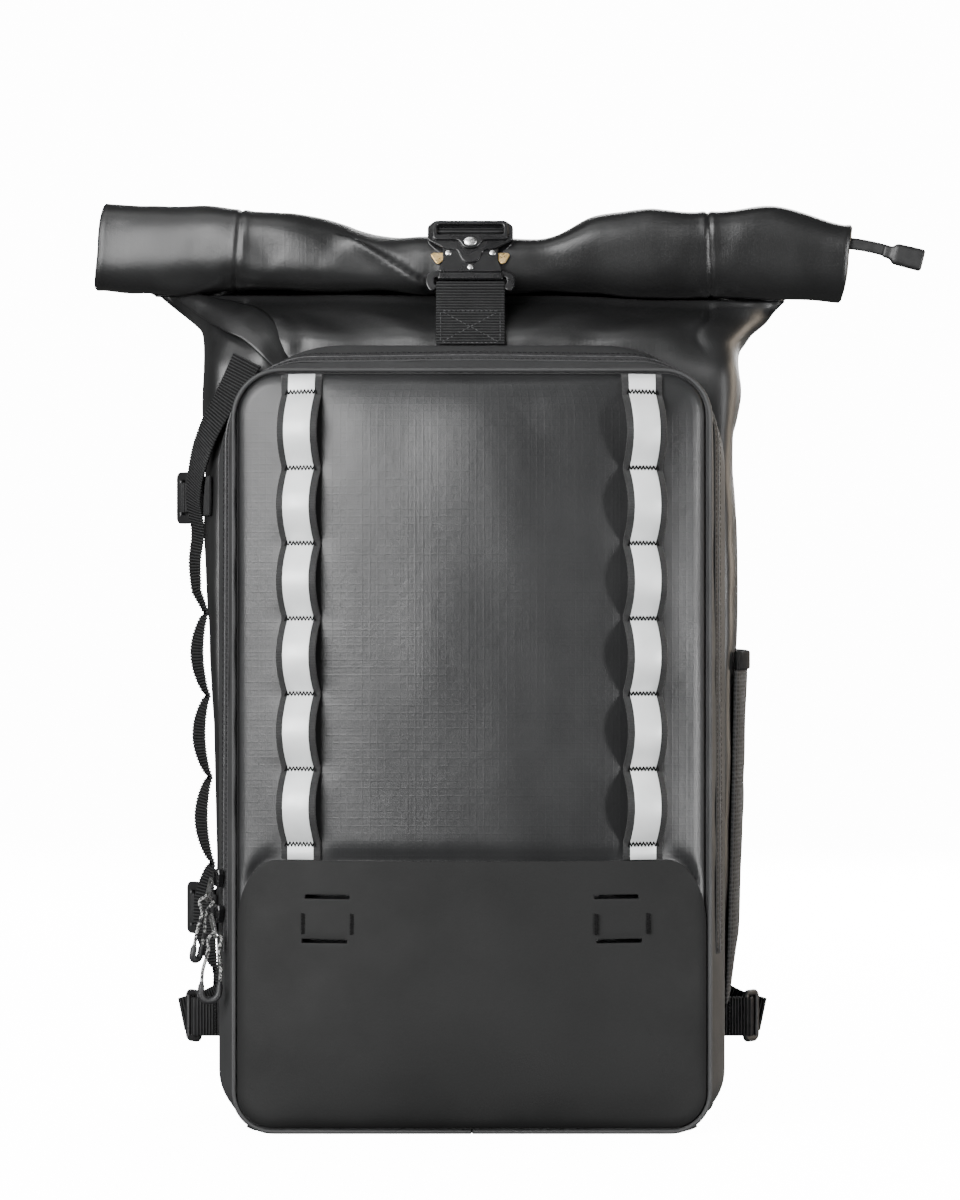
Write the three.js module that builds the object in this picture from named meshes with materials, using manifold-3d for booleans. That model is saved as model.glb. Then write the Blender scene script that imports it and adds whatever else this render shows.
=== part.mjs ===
// A roll-top backpack that also hangs on a bicycle rack as a pannier, in millimetres.
// +Z is up, the front pocket faces -Y, and +X is to the right seen from the front.
// The origin is the middle of the flat base.

import * as THREE from 'three';
import { mergeVertices } from 'three/addons/utils/BufferGeometryUtils.js';
import Module from 'manifold-3d';

const wasm = await Module();
wasm.setup();

// Driving dimensions
const WALL = 2; // coated fabric
const GAP = 0.3; // left between pieces that are sewn or seated
const WEBBING = { width: 25, thick: 1.6 };
const BASE = { halfWidth: 140, front: -84, back: 90, corner: 28, thick: 2.5 };

// Main compartment, level by level: the seam between front and side panel, the reach of the side
// panel, the front and back walls, how boxy the side panel's curve is, how much higher the level
// runs at the back, and its share of the throat's sag to the right.
const BODY = [
  { z: 2.8, seam: 132, side: 142, front: -50, back: 90, boxy: 4, rise: 0, sag: 0 },
  { z: 12, seam: 143, side: 152, front: -54, back: 96, boxy: 4, rise: 0, sag: 0 },
  { z: 40, seam: 147, side: 157.5, front: -55, back: 98, boxy: 4.5, rise: 0, sag: 0 },
  { z: 150, seam: 148, side: 161.5, front: -55, back: 98, boxy: 5, rise: 0, sag: 0 },
  { z: 300, seam: 148, side: 165.5, front: -55, back: 98, boxy: 5, rise: 0, sag: 0 },
  { z: 420, seam: 148, side: 168, front: -55, back: 98, boxy: 3.6, rise: 0, sag: 0 },
  { z: 466, seam: 148, side: 172, front: -55, back: 98, boxy: 3.2, rise: 8, sag: 0 },
  { z: 488, seam: 148, side: 172, front: -54, back: 92, boxy: 3, rise: 17, sag: 0 },
  { z: 499, seam: 147, side: 175, front: -44, back: 62, boxy: 2.6, rise: 14, sag: 0 },
  { z: 510, seam: 146, side: 184, front: -30, back: 28, boxy: 2.2, rise: 8, sag: 0.5 },
  { z: 520.6, seam: 146, side: 198, front: -15, back: -3, boxy: 2, rise: 0, sag: 1 },
];
const SAG = { from: 30, to: 150, depth: 4.8 };

// Front pocket: the seam round its face, and the wider outline where its gusset meets the body.
const FACE = { low: 4, high: 467, half: 144, topRadius: 27, lowRadius: 22, y: -88, bulge: 22 };
const HEEL = { low: 2.8, high: 486, half: 157, topRadius: 76, lowRadius: 34, y: -57.6 };
const GUSSET_SWELL = 2; // how far the gusset stands out of the straight line between them
const LOWER_PANEL = { high: 169, cornerWide: 24, cornerTall: 42, thick: 1.7 };
const SLOT = { x: 90, levels: [147, 120], length: 28, height: 2.6 };
const ZIP = { from: 0.36, to: 0.66, thick: 1.2 };
const PIPING = { radius: 1.5, offset: 2.3 };

// Webbing ladders on the pocket's face, sewn down at even tacks
const LADDER = { x: 104, top: 465, firstTack: 454.5, pitch: 45.9, loops: 6, low: 169.6, lift: 12 };
const STRIPE = { width: 16.5, thick: 0.5 };

// Rolled closure: the middle height and the half height of the roll, station by station, and how
// far its left end swings back.
const ROLL = { y: -8, halfDepth: 27, thick: 2.4, turns: 2.25, shrink: 0.2, start: -95 };
const ROLL_STATIONS = [
  { x: -236, z: 553, half: 29, back: 14 },
  { x: -200, z: 550, half: 29.5, back: 10.4 },
  { x: -146, z: 548, half: 27, back: 1 },
  { x: -115, z: 547, half: 26 },
  { x: -80, z: 542.5, half: 21 },
  { x: -40, z: 539, half: 18 },
  { x: 0, z: 539, half: 18 },
  { x: 40, z: 539, half: 18 },
  { x: 80, z: 544.5, half: 24.5 },
  { x: 120, z: 546, half: 28 },
  { x: 146, z: 545.5, half: 27.5 },
  { x: 188, z: 546.5, half: 30 },
  { x: 234, z: 540, half: 25 },
];

// Buckle on the front of the roll, leaning back with it
const BUCKLE = { x: -1, y: -33, z: 543, lean: 15, halfWidth: 27 };
const BUCKLE_STRAP = { width: 45, thick: 1.6 };
const LOWER_STRAP = [
  { y: -56.6, z: 487.6 },
  { y: -50, z: 503 },
  { y: -44, z: 513 },
  { y: -39.4, z: 520.5 },
];
// From the buckle over the roll and down to the back of the throat
const UPPER_STRAP = [
  { y: -34, z: 556 },
  { y: -24, z: 557.6 },
  { y: -8, z: 557.4 },
  { y: 8, z: 553.2 },
  { y: 16.5, z: 545.5 },
  { y: 19.3, z: 537 },
  { y: 22.5, z: 529 },
  { y: 31, z: 521.8 },
  { y: 52, z: 516 },
  { y: 78, z: 509.6 },
];
const LEVER = { x: 13.8, y: 0.6, bore: 1.9, pin: 1.5 };

// Left side: webbing sewn down in loops, and two compression straps with ladder locks
const SIDE_WEB = { y: -25, tacks: [320, 268, 217, 163, 96], lift: 6.5, low: 86 };
// Its top end leaves the pocket's upper corner facing forward, and turns to face sideways.
const SIDE_WEB_TOP = [
  { x: -138, y: -59.5, z: 481, turn: 84 },
  { x: -153.5, y: -58.5, z: 456, turn: 60 },
  { x: -161, y: -56.5, z: 440, turn: 48 },
  { x: -167, y: -51, z: 426, turn: 36 },
  { x: -171.5, y: -40, z: 409, turn: 26 },
  { x: -174, y: -31, z: 390, turn: 22 },
  { x: -171.5, y: -26, z: 371, turn: 18 },
  { x: -173.5, y: -25, z: 352, turn: 14 },
  { x: -172.5, y: -25, z: 334, turn: 8 },
];
const LOCK_LEVELS = { upper: 393, lower: 132 };
const LOCK = { tall: 33, deep: 26, thick: 5.2, front: 0, swing: 34, rim: 5.5 };

// Lower strap anchors, one on each side
const ANCHOR = { y: 72, z: 57, reach: 178, barRadius: 2.2 };

// Right side: stretch mesh pocket
const MESH = { low: 76, high: 284, front: -46, back: 86, swell: 8, thick: 1.2, binding: 12, seat: 0.8 };

// Back: padded panel, shoulder straps and a plain hook rail
const PAD = { half: 134, low: 42, high: 442, corner: 40, thick: 9 };
const RAIL = { half: 124, low: 394, high: 416, thick: 5, hookX: 105, hookWide: 24, throat: 18 };

const SIDES = { left: -1, right: 1 };

// Materials, by what the piece is made of
const FINISH = {
  coated: { color: 0x26272a, roughness: 0.42, metalness: 0 },
  rubberised: { color: 0x2c2d2f, roughness: 0.75, metalness: 0 },
  webbing: { color: 0x1e1f21, roughness: 0.85, metalness: 0 },
  reflective: { color: 0xd5d8d8, roughness: 0.5, metalness: 0.1 },
  zip: { color: 0x2a2b2d, roughness: 0.6, metalness: 0 },
  mesh: { color: 0x1b1c1e, roughness: 0.9, metalness: 0 },
  plastic: { color: 0x1a1b1c, roughness: 0.45, metalness: 0 },
  blackMetal: { color: 0x111214, roughness: 0.3, metalness: 0.8 },
  brass: { color: 0xc9a262, roughness: 0.35, metalness: 1 },
  steel: { color: 0xd8d8d6, roughness: 0.3, metalness: 1 },
  cord: { color: 0x2a2b2c, roughness: 0.9, metalness: 0 },
  rubber: { color: 0x232425, roughness: 0.6, metalness: 0 },
  padding: { color: 0x202123, roughness: 0.95, metalness: 0 },
};
const materials = Object.fromEntries(
  Object.entries(FINISH).map(([name, look]) => [name, new THREE.MeshStandardMaterial(look)]),
);

const bag = new THREE.Group();

function add(name, geometry, finish, parent = bag) {
  const mesh = new THREE.Mesh(geometry, materials[finish]);
  mesh.name = name;
  parent.add(mesh);
  return mesh;
}

// Small helpers

const vec = (x, y, z) => new THREE.Vector3(x, y, z);
const lerp = THREE.MathUtils.lerp;
const rad = THREE.MathUtils.degToRad;
const steps = (count) => Array.from({ length: count + 1 }, (_, i) => i / count);

// A table's row at a key value, with every column read linearly between its neighbours.
function rowAt(table, key, value) {
  const last = table.length - 2;
  const found = table.findIndex((row, i) => i < last && value <= table[i + 1][key]);
  const i = found < 0 ? last : found;
  const [a, b] = [table[i], table[i + 1]];
  const t = (value - a[key]) / (b[key] - a[key]);
  return Object.fromEntries(Object.keys(a).map((column) => [column, lerp(a[column], b[column], t)]));
}

// Closed geometry from points and triangles, turned to face out.
function closedGeometry(points, faces) {
  let volume = 0;
  for (let i = 0; i < faces.length; i += 3) {
    const [a, b, c] = [points[faces[i]], points[faces[i + 1]], points[faces[i + 2]]];
    volume += a.dot(b.clone().cross(c));
  }
  const index = volume < 0 ? faces.toReversed() : faces;
  return new THREE.BufferGeometry().setFromPoints(points).setIndex(index);
}

// A sheet with thickness: two grids of points, rows by columns, joined by rims all round.
function sheetSolid(outer, inner) {
  const rows = outer.length;
  const columns = outer[0].length;
  const at = (layer, j, i) => (layer * rows + j) * columns + i;
  const faces = [];
  const quad = (a, b, c, d) => faces.push(a, b, c, a, c, d);
  const [top, end] = [rows - 1, columns - 1];
  for (let j = 0; j < top; j++) {
    for (let i = 0; i < end; i++) {
      quad(at(0, j, i), at(0, j, i + 1), at(0, j + 1, i + 1), at(0, j + 1, i));
      quad(at(1, j, i), at(1, j + 1, i), at(1, j + 1, i + 1), at(1, j, i + 1));
    }
    quad(at(0, j, 0), at(0, j + 1, 0), at(1, j + 1, 0), at(1, j, 0));
    quad(at(0, j, end), at(1, j, end), at(1, j + 1, end), at(0, j + 1, end));
  }
  for (let i = 0; i < end; i++) {
    quad(at(0, 0, i), at(1, 0, i), at(1, 0, i + 1), at(0, 0, i + 1));
    quad(at(0, top, i), at(0, top, i + 1), at(1, top, i + 1), at(1, top, i));
  }
  return closedGeometry([...outer.flat(), ...inner.flat()], faces);
}

// A flat band along stations, each a point, an across direction and an outward direction.
function band(stations, width, thick, lift = 0) {
  const layer = (height) =>
    stations.map(({ point, across, out }) =>
      [-width / 2, width / 2].map((w) =>
        point.clone().addScaledVector(across, w).addScaledVector(out, height),
      ),
    );
  return sheetSolid(layer(lift + thick), layer(lift));
}

// Stations along a smooth line, lying flat: out is square to both the line and across.
function stationsAlong(points, acrosses, count, outHint) {
  const curve = new THREE.CatmullRomCurve3(points, false, 'centripetal');
  const turn = new THREE.CatmullRomCurve3(acrosses, false, 'centripetal');
  return steps(count).map((t) => {
    const tangent = curve.getTangent(t);
    const across = turn.getPoint(t);
    across.addScaledVector(tangent, -across.dot(tangent)).normalize();
    const out = tangent.clone().cross(across).normalize();
    if (out.dot(outHint) < 0) out.negate();
    return { point: curve.getPoint(t), across, out };
  });
}

// A round cord or bar along points.
function roundBar(points, radius, sides, count) {
  const section = new THREE.Shape();
  steps(sides).forEach((t, i) => {
    const angle = t * Math.PI * 2;
    const place = [radius * Math.cos(angle), radius * Math.sin(angle)];
    if (i === 0) section.moveTo(...place);
    else if (i < sides) section.lineTo(...place);
  });
  const extrudePath = new THREE.CatmullRomCurve3(points, false, 'centripetal');
  return new THREE.ExtrudeGeometry(section, { steps: count, extrudePath, bevelEnabled: false });
}

// A plate of a flat outline, with its edges eased when bevel is given.
function plate(shape, thick, bevel = 0, curveSegments = 5) {
  const geometry = new THREE.ExtrudeGeometry(shape, {
    depth: thick - 2 * bevel,
    bevelEnabled: bevel > 0,
    bevelThickness: bevel,
    bevelSize: bevel,
    bevelOffset: -bevel,
    bevelSegments: 1,
    curveSegments,
  });
  return geometry.translate(0, 0, bevel);
}

function polygon(corners) {
  return new THREE.Shape(corners.map(([x, y]) => new THREE.Vector2(x, y)));
}

const rectangle = (half, low, high) => polygon([[-half, low], [half, low], [half, high], [-half, high]]);

function roundedRectangle(halfWidth, low, high, radius) {
  const shape = new THREE.Shape();
  shape.moveTo(-halfWidth + radius, low);
  shape.lineTo(halfWidth - radius, low);
  shape.absarc(halfWidth - radius, low + radius, radius, -Math.PI / 2, 0);
  shape.lineTo(halfWidth, high - radius);
  shape.absarc(halfWidth - radius, high - radius, radius, 0, Math.PI / 2);
  shape.lineTo(-halfWidth + radius, high);
  shape.absarc(-halfWidth + radius, high - radius, radius, Math.PI / 2, Math.PI);
  shape.lineTo(-halfWidth, low + radius);
  shape.absarc(-halfWidth + radius, low + radius, radius, Math.PI, Math.PI * 1.5);
  return shape;
}

// Joins and cuts

function toManifold(geometry) {
  const bare = geometry.index ? geometry.toNonIndexed() : geometry.clone();
  const merged = mergeVertices(
    new THREE.BufferGeometry().setAttribute('position', bare.getAttribute('position')),
    1e-4,
  );
  return new wasm.Manifold(
    new wasm.Mesh({
      numProp: 3,
      vertProperties: merged.attributes.position.array,
      triVerts: new Uint32Array(merged.index.array),
    }),
  );
}

function toGeometry(manifold) {
  const mesh = manifold.getMesh();
  return new THREE.BufferGeometry()
    .setAttribute('position', new THREE.BufferAttribute(mesh.vertProperties, 3))
    .setIndex(new THREE.BufferAttribute(mesh.triVerts, 1));
}

const join = (...solids) => toGeometry(solids.map(toManifold).reduce((a, b) => a.add(b)));
const cut = (solid, ...tools) =>
  toGeometry(tools.map(toManifold).reduce((a, b) => a.subtract(b), toManifold(solid)));

// Main compartment

// The same level one wall further in: the front and back profiles are moved square to themselves.
function innerRow(row, i) {
  const [below, above] = [BODY[Math.max(i - 1, 0)], BODY[Math.min(i + 1, BODY.length - 1)]];
  const moved = (y, z, way) => {
    const [dy, dz] = [y(above) - y(below), z(above) - z(below)];
    const length = Math.hypot(dy, dz);
    return [y(row) + (way * WALL * dz) / length, z(row) - (way * WALL * dy) / length];
  };
  const [front, z] = moved((r) => r.front, (r) => r.z, 1);
  const [back, high] = moved((r) => r.back, (r) => r.z + r.rise, -1);
  return { ...row, side: row.side - WALL * 1.2, front, back, z, rise: high - z };
}

// A point of a level, which climbs to the back and sags to the right.
function levelPoint(row, x, y) {
  const climb = (row.rise * (y - row.front)) / (row.back - row.front);
  const sag = row.sag * SAG.depth * THREE.MathUtils.clamp((x - SAG.from) / (SAG.to - SAG.from), 0, 1);
  return vec(x, y, row.z + climb - sag);
}

// The side panel's reach in X at a depth y: straight at the seams, swelling to row.side between.
function sideReach(row, y) {
  const middle = (row.front + row.back) / 2;
  const part = Math.min(Math.abs(y - middle) / ((row.back - row.front) / 2), 1);
  return row.seam + (row.side - row.seam) * (1 - part ** row.boxy) ** (1 / row.boxy);
}

const sideX = (y, z) => sideReach(rowAt(BODY, 'z', z), y);

function sideColumn(row, sign) {
  const middle = (row.front + row.back) / 2;
  const half = (row.back - row.front) / 2;
  return steps(8).map((t) => {
    const angle = lerp(-Math.PI / 2, Math.PI / 2, t);
    const share = Math.sign(angle) * Math.abs(Math.sin(angle)) ** (2 / row.boxy);
    const y = middle + half * share;
    return levelPoint(row, sign * (sideReach(row, y) + GAP / 2), y);
  });
}

function flatColumn(row, column) {
  const half = row.seam - GAP / 2;
  return steps(3).map((t) => levelPoint(row, lerp(-half, half, t), row[column]));
}

function buildMainCompartment() {
  const inner = BODY.map(innerRow);
  for (const [wall, column] of [['front_wall', 'front'], ['back_wall', 'back']]) {
    const layer = (rows) => rows.map((row) => flatColumn(row, column));
    add(wall, sheetSolid(layer(BODY), layer(inner)), 'coated');
  }
  for (const [side, sign] of Object.entries(SIDES)) {
    const layer = (rows) => rows.map((row) => sideColumn(row, sign));
    add(`side_panel_${side}`, sheetSolid(layer(BODY), layer(inner)), 'coated');
  }
  const { halfWidth, front, back, corner, thick } = BASE;
  add('base_panel', plate(roundedRectangle(halfWidth, front, back, corner), thick, 0.8, 3), 'coated');
}

// Front pocket

// Points of an outline from the lower left corner over the top to the lower right corner, grown by
// an amount. Every outline has the same number of points, so two of them can be joined.
const ARC_STEPS = 5;
const SIDE_STEPS = 5;
function outlinePoints(outline, grow = 0) {
  const { low, high } = outline;
  const half = outline.half + grow;
  const top = outline.topRadius + grow;
  const foot = outline.lowRadius + grow;
  const arc = (x, z, radius, from, to) =>
    steps(ARC_STEPS).map((t) => {
      const angle = rad(lerp(from, to, t));
      return [x + radius * Math.cos(angle), z + radius * Math.sin(angle)];
    });
  const rise = high + grow - top;
  const bottom = low + outline.lowRadius;
  const between = (a, b) => steps(SIDE_STEPS).slice(1, -1).map((t) => [lerp(a[0], b[0], t), lerp(a[1], b[1], t)]);
  const lowLeft = arc(-half + foot, bottom, foot, 270, 180);
  const topLeft = arc(-half + top, rise, top, 180, 90);
  const topRight = arc(half - top, rise, top, 90, 0);
  const lowRight = arc(half - foot, bottom, foot, 0, -90);
  return [
    ...lowLeft,
    ...between(lowLeft.at(-1), topLeft[0]),
    ...topLeft,
    ...between(topLeft.at(-1), topRight[0]),
    ...topRight,
    ...between(topRight.at(-1), lowRight[0]),
    ...lowRight,
  ];
}

// The gusset's surface: rows run round the outline, columns run from the face's seam to the body.
const GUSSET_FRONT_Y = FACE.y + WALL + 2 * GAP;
function gussetRows(shares, grow) {
  const face = outlinePoints(FACE, 0.5 + grow);
  const heel = outlinePoints(HEEL, grow);
  return face.map(([x, z], i) =>
    shares.map((share) => {
      const swell = GUSSET_SWELL * Math.sin(Math.PI * share) ** 0.8;
      const flat = Math.hypot(heel[i][0] - x, heel[i][1] - z) || 1;
      const push = (swell * Math.min(flat, 14)) / 14 / flat;
      return vec(
        lerp(x, heel[i][0], share) + (heel[i][0] - x) * push,
        lerp(GUSSET_FRONT_Y, HEEL.y, share) - swell * 0.6,
        Math.max(lerp(z, heel[i][1], share) + (heel[i][1] - z) * push, HEEL.low),
      );
    }),
  );
}

// Half width of the pocket's face at a height, following its round corners.
function faceHalf(z, inset = 0) {
  const half = FACE.half - inset;
  const corner = (radius, height) => (height < radius ? radius - Math.sqrt(height * (2 * radius - height)) : 0);
  return half - corner(FACE.topRadius, FACE.high - inset - z) - corner(FACE.lowRadius, z - FACE.low);
}

// Front surface of the pocket's face: pillowed, fullest along its middle.
function faceY(x, z) {
  const across = 1 - Math.min(Math.abs(x) / FACE.half, 1) ** 2.2;
  const middle = (FACE.low + FACE.high) / 2;
  const along = 1 - Math.min(Math.abs(z - middle) / (FACE.high - middle), 1) ** 7;
  return FACE.y - FACE.bulge * across * Math.sqrt(along);
}

function faceNormal(x, z) {
  const d = 0.5;
  const slopeX = (faceY(x + d, z) - faceY(x - d, z)) / (2 * d);
  const slopeZ = (faceY(x, z + d) - faceY(x, z - d)) / (2 * d);
  return vec(slopeX, -1, slopeZ).normalize();
}

// A sheet laid over the face between two heights, from one depth in front of it to another.
function faceSheet(heights, half, columns, near, far) {
  const layer = (offset) =>
    heights.map((z) =>
      steps(columns).map((t) => {
        const x = lerp(-1, 1, t) * half(z);
        return vec(x, faceY(x, z) - offset, z);
      }),
    );
  return sheetSolid(layer(far), layer(near));
}

function buildPocket() {
  const cornerRows = steps(4).map((t) => FACE.high - FACE.topRadius * (1 - Math.sin((t * Math.PI) / 2)));
  const upper = [110, 150, 200, 250, 300, 350, 400, 426, ...cornerRows];
  add('front_panel', faceSheet(upper, (z) => faceHalf(z), 10, -WALL, 0), 'coated');

  const { high, cornerWide, cornerTall, thick } = LOWER_PANEL;
  const footRows = steps(4).map((t) => FACE.low + FACE.lowRadius * (1 - Math.cos((t * Math.PI) / 2)));
  const shoulderRows = steps(4).map((t) => high - cornerTall * (1 - Math.sin((t * Math.PI) / 2)));
  const lowerHalf = (z) => {
    const rise = THREE.MathUtils.clamp((z - high + cornerTall) / cornerTall, 0, 1);
    return faceHalf(z) - cornerWide * (1 - Math.sqrt(1 - rise * rise));
  };
  const sheet = faceSheet([...footRows, 60, 95, ...shoulderRows], lowerHalf, 10, 2 * GAP, 2 * GAP + thick);
  const slots = Object.values(SIDES).flatMap((sign) =>
    SLOT.levels.map((z) => {
      const tool = new THREE.BoxGeometry(SLOT.length, 40, SLOT.height);
      return tool.translate(sign * SLOT.x, FACE.y, z);
    }),
  );
  add('lower_panel', cut(sheet, ...slots), 'rubberised');

  const across = steps(4);
  add('pocket_gusset', sheetSolid(gussetRows(across, 0), gussetRows(across, -WALL)), 'coated');

  const zipShares = [ZIP.from, 0.5, ZIP.to];
  const run = (grow) => gussetRows(zipShares, grow).slice(ARC_STEPS + 1, -ARC_STEPS - 1);
  add('pocket_zip', sheetSolid(run(GAP + ZIP.thick), run(GAP)), 'zip');

  const seam = outlinePoints(FACE, PIPING.offset).map(([x, z]) => vec(x, FACE.y, z));
  const rings = seam.map((point, i) => {
    const along = seam[Math.min(i + 1, seam.length - 1)].clone().sub(seam[Math.max(i - 1, 0)]).normalize();
    const across = along.clone().cross(vec(0, 1, 0));
    return steps(6).slice(0, -1).map((t) => {
      const angle = t * 2 * Math.PI;
      return point.clone().addScaledVector(across, PIPING.radius * Math.cos(angle))
        .addScaledVector(vec(0, 1, 0), PIPING.radius * Math.sin(angle));
    });
  });
  add('panel_piping', loft(rings), 'rubberised');
}

// Webbing ladders on the pocket's face

function ladderStations(x) {
  const { top, firstTack, pitch, loops, low, lift } = LADDER;
  const marks = [{ z: top, rise: 0 }, { z: (top + firstTack) / 2, rise: 0 }];
  for (let k = 0; k < loops; k++) {
    for (const t of steps(5).slice(0, -1)) {
      marks.push({ z: firstTack - pitch * (k + t), rise: lift * Math.sin(Math.PI * t) ** 0.8 });
    }
  }
  marks.push({ z: firstTack - pitch * loops, rise: 0 }, { z: low, rise: 0 });
  const line = marks.map(({ z, rise }) =>
    vec(x, faceY(x, z), z).addScaledVector(faceNormal(x, z), rise + 3 * GAP),
  );
  return line.map((point, i) => {
    const along = line[Math.min(i + 1, line.length - 1)].clone().sub(line[Math.max(i - 1, 0)]).normalize();
    const normal = faceNormal(x, point.z);
    const across = vec(0, 0, 1).cross(normal).normalize();
    const out = along.clone().cross(across).normalize();
    if (out.dot(normal) < 0) out.negate();
    return { point, across, out };
  });
}

function buildLadders() {
  for (const [side, sign] of Object.entries(SIDES)) {
    const stations = ladderStations(sign * LADDER.x);
    add(`ladder_webbing_${side}`, band(stations, WEBBING.width, WEBBING.thick), 'webbing');
    const lift = WEBBING.thick + GAP;
    add(`reflective_stripe_${side}`, band(stations, STRIPE.width, STRIPE.thick, lift), 'reflective');
  }
}

// Rolled closure: a double sheet wound forward from the throat.

function rollPoint(station, angle, inset) {
  const wound = 1 - (ROLL.shrink * (angle - ROLL.start)) / 360;
  const [depth, height] = [ROLL.halfDepth * wound - inset, station.half * wound - inset];
  return vec(
    station.x,
    ROLL.y + (station.back ?? 0) + depth * Math.cos(rad(angle)),
    station.z + height * Math.sin(rad(angle)),
  );
}

function buildRoll() {
  const angles = steps(Math.round(ROLL.turns * 10)).map((t) => ROLL.start + t * ROLL.turns * 360);
  const layer = (inset) => ROLL_STATIONS.map((s) => angles.map((angle) => rollPoint(s, angle, inset)));
  add('roll_top', sheetSolid(layer(0), layer(ROLL.thick)), 'coated');
}

// Pull tape that leaves the right end of the roll between two layers, with a moulded end.
function buildRollPull() {
  const end = ROLL_STATIONS.at(-1);
  const angle = 172;
  const inset = ROLL.thick + 2.05;
  const root = rollPoint({ ...end, x: end.x - 24 }, angle, inset);
  const line = [root, vec(end.x + 2, root.y, root.z), vec(end.x + 30, root.y, root.z - 7)];
  const up = [vec(0, 0, 1), vec(0, 0, 1), vec(0, 0, 1)];
  const tape = band(stationsAlong(line, up, 8, vec(0, -1, 0)), 6.5, 1.2, -0.6);
  const grip = plate(polygon([[-10, -5.5], [-7, -7], [11, -7], [13, 0], [11, 7], [-7, 7], [-10, 5.5]]), 8, 1.6);
  grip.translate(0, 0, -4).rotateX(Math.PI / 2).rotateY(rad(14));
  grip.translate(end.x + 37, root.y, root.z - 8.5);
  add('roll_pull', join(tape, grip), 'rubber');
}

// Metal buckle, in its own frame: X across, Y up its face and Z out of it.

function buildBuckle() {
  const buckle = new THREE.Group();
  buckle.position.set(BUCKLE.x, BUCKLE.y, BUCKLE.z);
  buckle.rotation.x = rad(90 - BUCKLE.lean);
  bag.add(buckle);

  const w = BUCKLE.halfWidth;
  const mirrored = (half) => [...half, ...half.toReversed().map(([x, y]) => [-x, y])];
  const layers = { base: [0, 2.4], core: [2.2, 5.2], cover: [5, 7.4] };
  const layer = (shape, [from, to], bevel) => plate(shape, to - from, bevel).translate(0, 0, from);

  // Back plate with the upper strap's slot, a narrow core, and the cover with its tongue
  const backPlate = polygon(mirrored([[w - 5, 21], [w, 17], [w, 8], [17.5, -1], [17.5, -14]]));
  const cover = polygon(mirrored([[w - 5, 21], [w, 17], [w, 9], [16, 2], [17.5, -1], [17.5, -12.5]]));
  const tongue = polygon(mirrored([[w - 6, 19.5], [w - 2, 16], [w - 2, 10], [15, 5], [10, 4], [6, -4.5], [3, -6.5]]));
  const head = polygon(mirrored([[w - 6, 19.5], [w - 2, 17.5], [w - 2, 9.5], [9, 8.5]]));
  const foot = polygon(mirrored([[7.5, 8], [7.5, -12]]));
  const slotTool = plate(polygon(mirrored([[21.5, 17.5], [21.5, 11]])), 30).translate(0, 0, -10);
  const pinHole = (x, y, radius) => {
    const tool = new THREE.CylinderGeometry(radius, radius, 12, 12).rotateX(Math.PI / 2);
    return tool.translate(x, y, 8.4);
  };
  const rivets = [
    { name: 'centre', x: 0, y: 7, head: 3.6, shank: 2.2, foot: 2.6, top: 9.2 },
    { name: 'lower', x: 0, y: -9, head: 2.1, shank: 1.5, foot: 2.6, top: 7.4 },
    { name: 'left', x: -LEVER.x, y: LEVER.y, head: 2.2, shank: LEVER.pin, foot: 2.6, top: 7.4 },
    { name: 'right', x: LEVER.x, y: LEVER.y, head: 2.2, shank: LEVER.pin, foot: 2.6, top: 7.4 },
  ];
  const body = join(
    layer(backPlate, layers.base, 0.5),
    layer(head, layers.core, 0),
    layer(foot, layers.core, 0),
    layer(cover, layers.cover, 0.5),
    layer(tongue, [7.2, 9.2], 0.6),
  );
  const holes = rivets.map(({ x, y, shank }) => pinHole(x, y, shank + GAP));
  add('buckle_body', cut(body, slotTool, ...holes), 'blackMetal', buckle);

  for (const { name, x, y, head: wide, shank, foot: low, top } of rivets) {
    const profile = [[0, low], [shank, low], [shank, top + GAP], [wide, top + GAP], [wide * 0.8, top + 1], [0, top + 1.2]];
    const lathe = new THREE.LatheGeometry(profile.map(([r, h]) => new THREE.Vector2(r, h)), 10);
    add(`buckle_rivet_${name}`, lathe.rotateX(Math.PI / 2).translate(x, y, 0), 'steel', buckle);
  }

  // Spring levers that pivot on the left and right rivets and are pressed to open the buckle
  for (const [side, sign] of Object.entries(SIDES)) {
    const corners = [[-3.4, 3.2], [3, 3.6], [9.4, 2.6], [11.4, 0.6], [6.6, -8.4], [4.8, -7], [2, -3.4], [-3.4, -3]];
    const outline = polygon(corners.map(([x, y]) => [sign * x, y]));
    const eye = new THREE.Path().absarc(0, 0, LEVER.bore, 0, Math.PI * 2);
    outline.holes.push(eye);
    const lever = plate(outline, 2, 0.3, 6);
    add(`buckle_lever_${side}`, lever.translate(sign * LEVER.x, LEVER.y, 2.7), 'brass', buckle);
  }

  // Lower frame: ears, and the bar that carries the lower strap
  const frame = polygon(mirrored([[17, -12], [19.5, -9.5], [w + 0.5, -13], [w + 0.5, -20], [w - 4, -22.5], [22, -22.5]]));
  const window = polygon(mirrored([[17, -14.4], [22.9, -15.6], [22.9, -18.6]]));
  const plateTool = plate(window, 20).translate(0, 0, -5);
  const clearance = plate(polygon(mirrored([[18, -4], [18, -14.4]])), 20).translate(0, 0, -5);
  add('buckle_frame', cut(plate(frame, 3.6, 0.6).translate(0, 0, 0.6), plateTool, clearance), 'blackMetal', buckle);
}

// Straps above and below the buckle

function buildBuckleStraps() {
  const across = vec(1, 0, 0);
  const strap = (name, points, count, outHint) => {
    const line = points.map(({ y, z }) => vec(BUCKLE.x, y, z));
    const stations = stationsAlong(line, line.map(() => across), count, outHint);
    add(name, band(stations, BUCKLE_STRAP.width - 2, BUCKLE_STRAP.thick), 'webbing');
  };
  strap('buckle_strap_lower', LOWER_STRAP, 6, vec(0, -1, 0));
  strap('buckle_strap_upper', UPPER_STRAP, 18, vec(0, 0.3, 1));
}

// Left side

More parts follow.
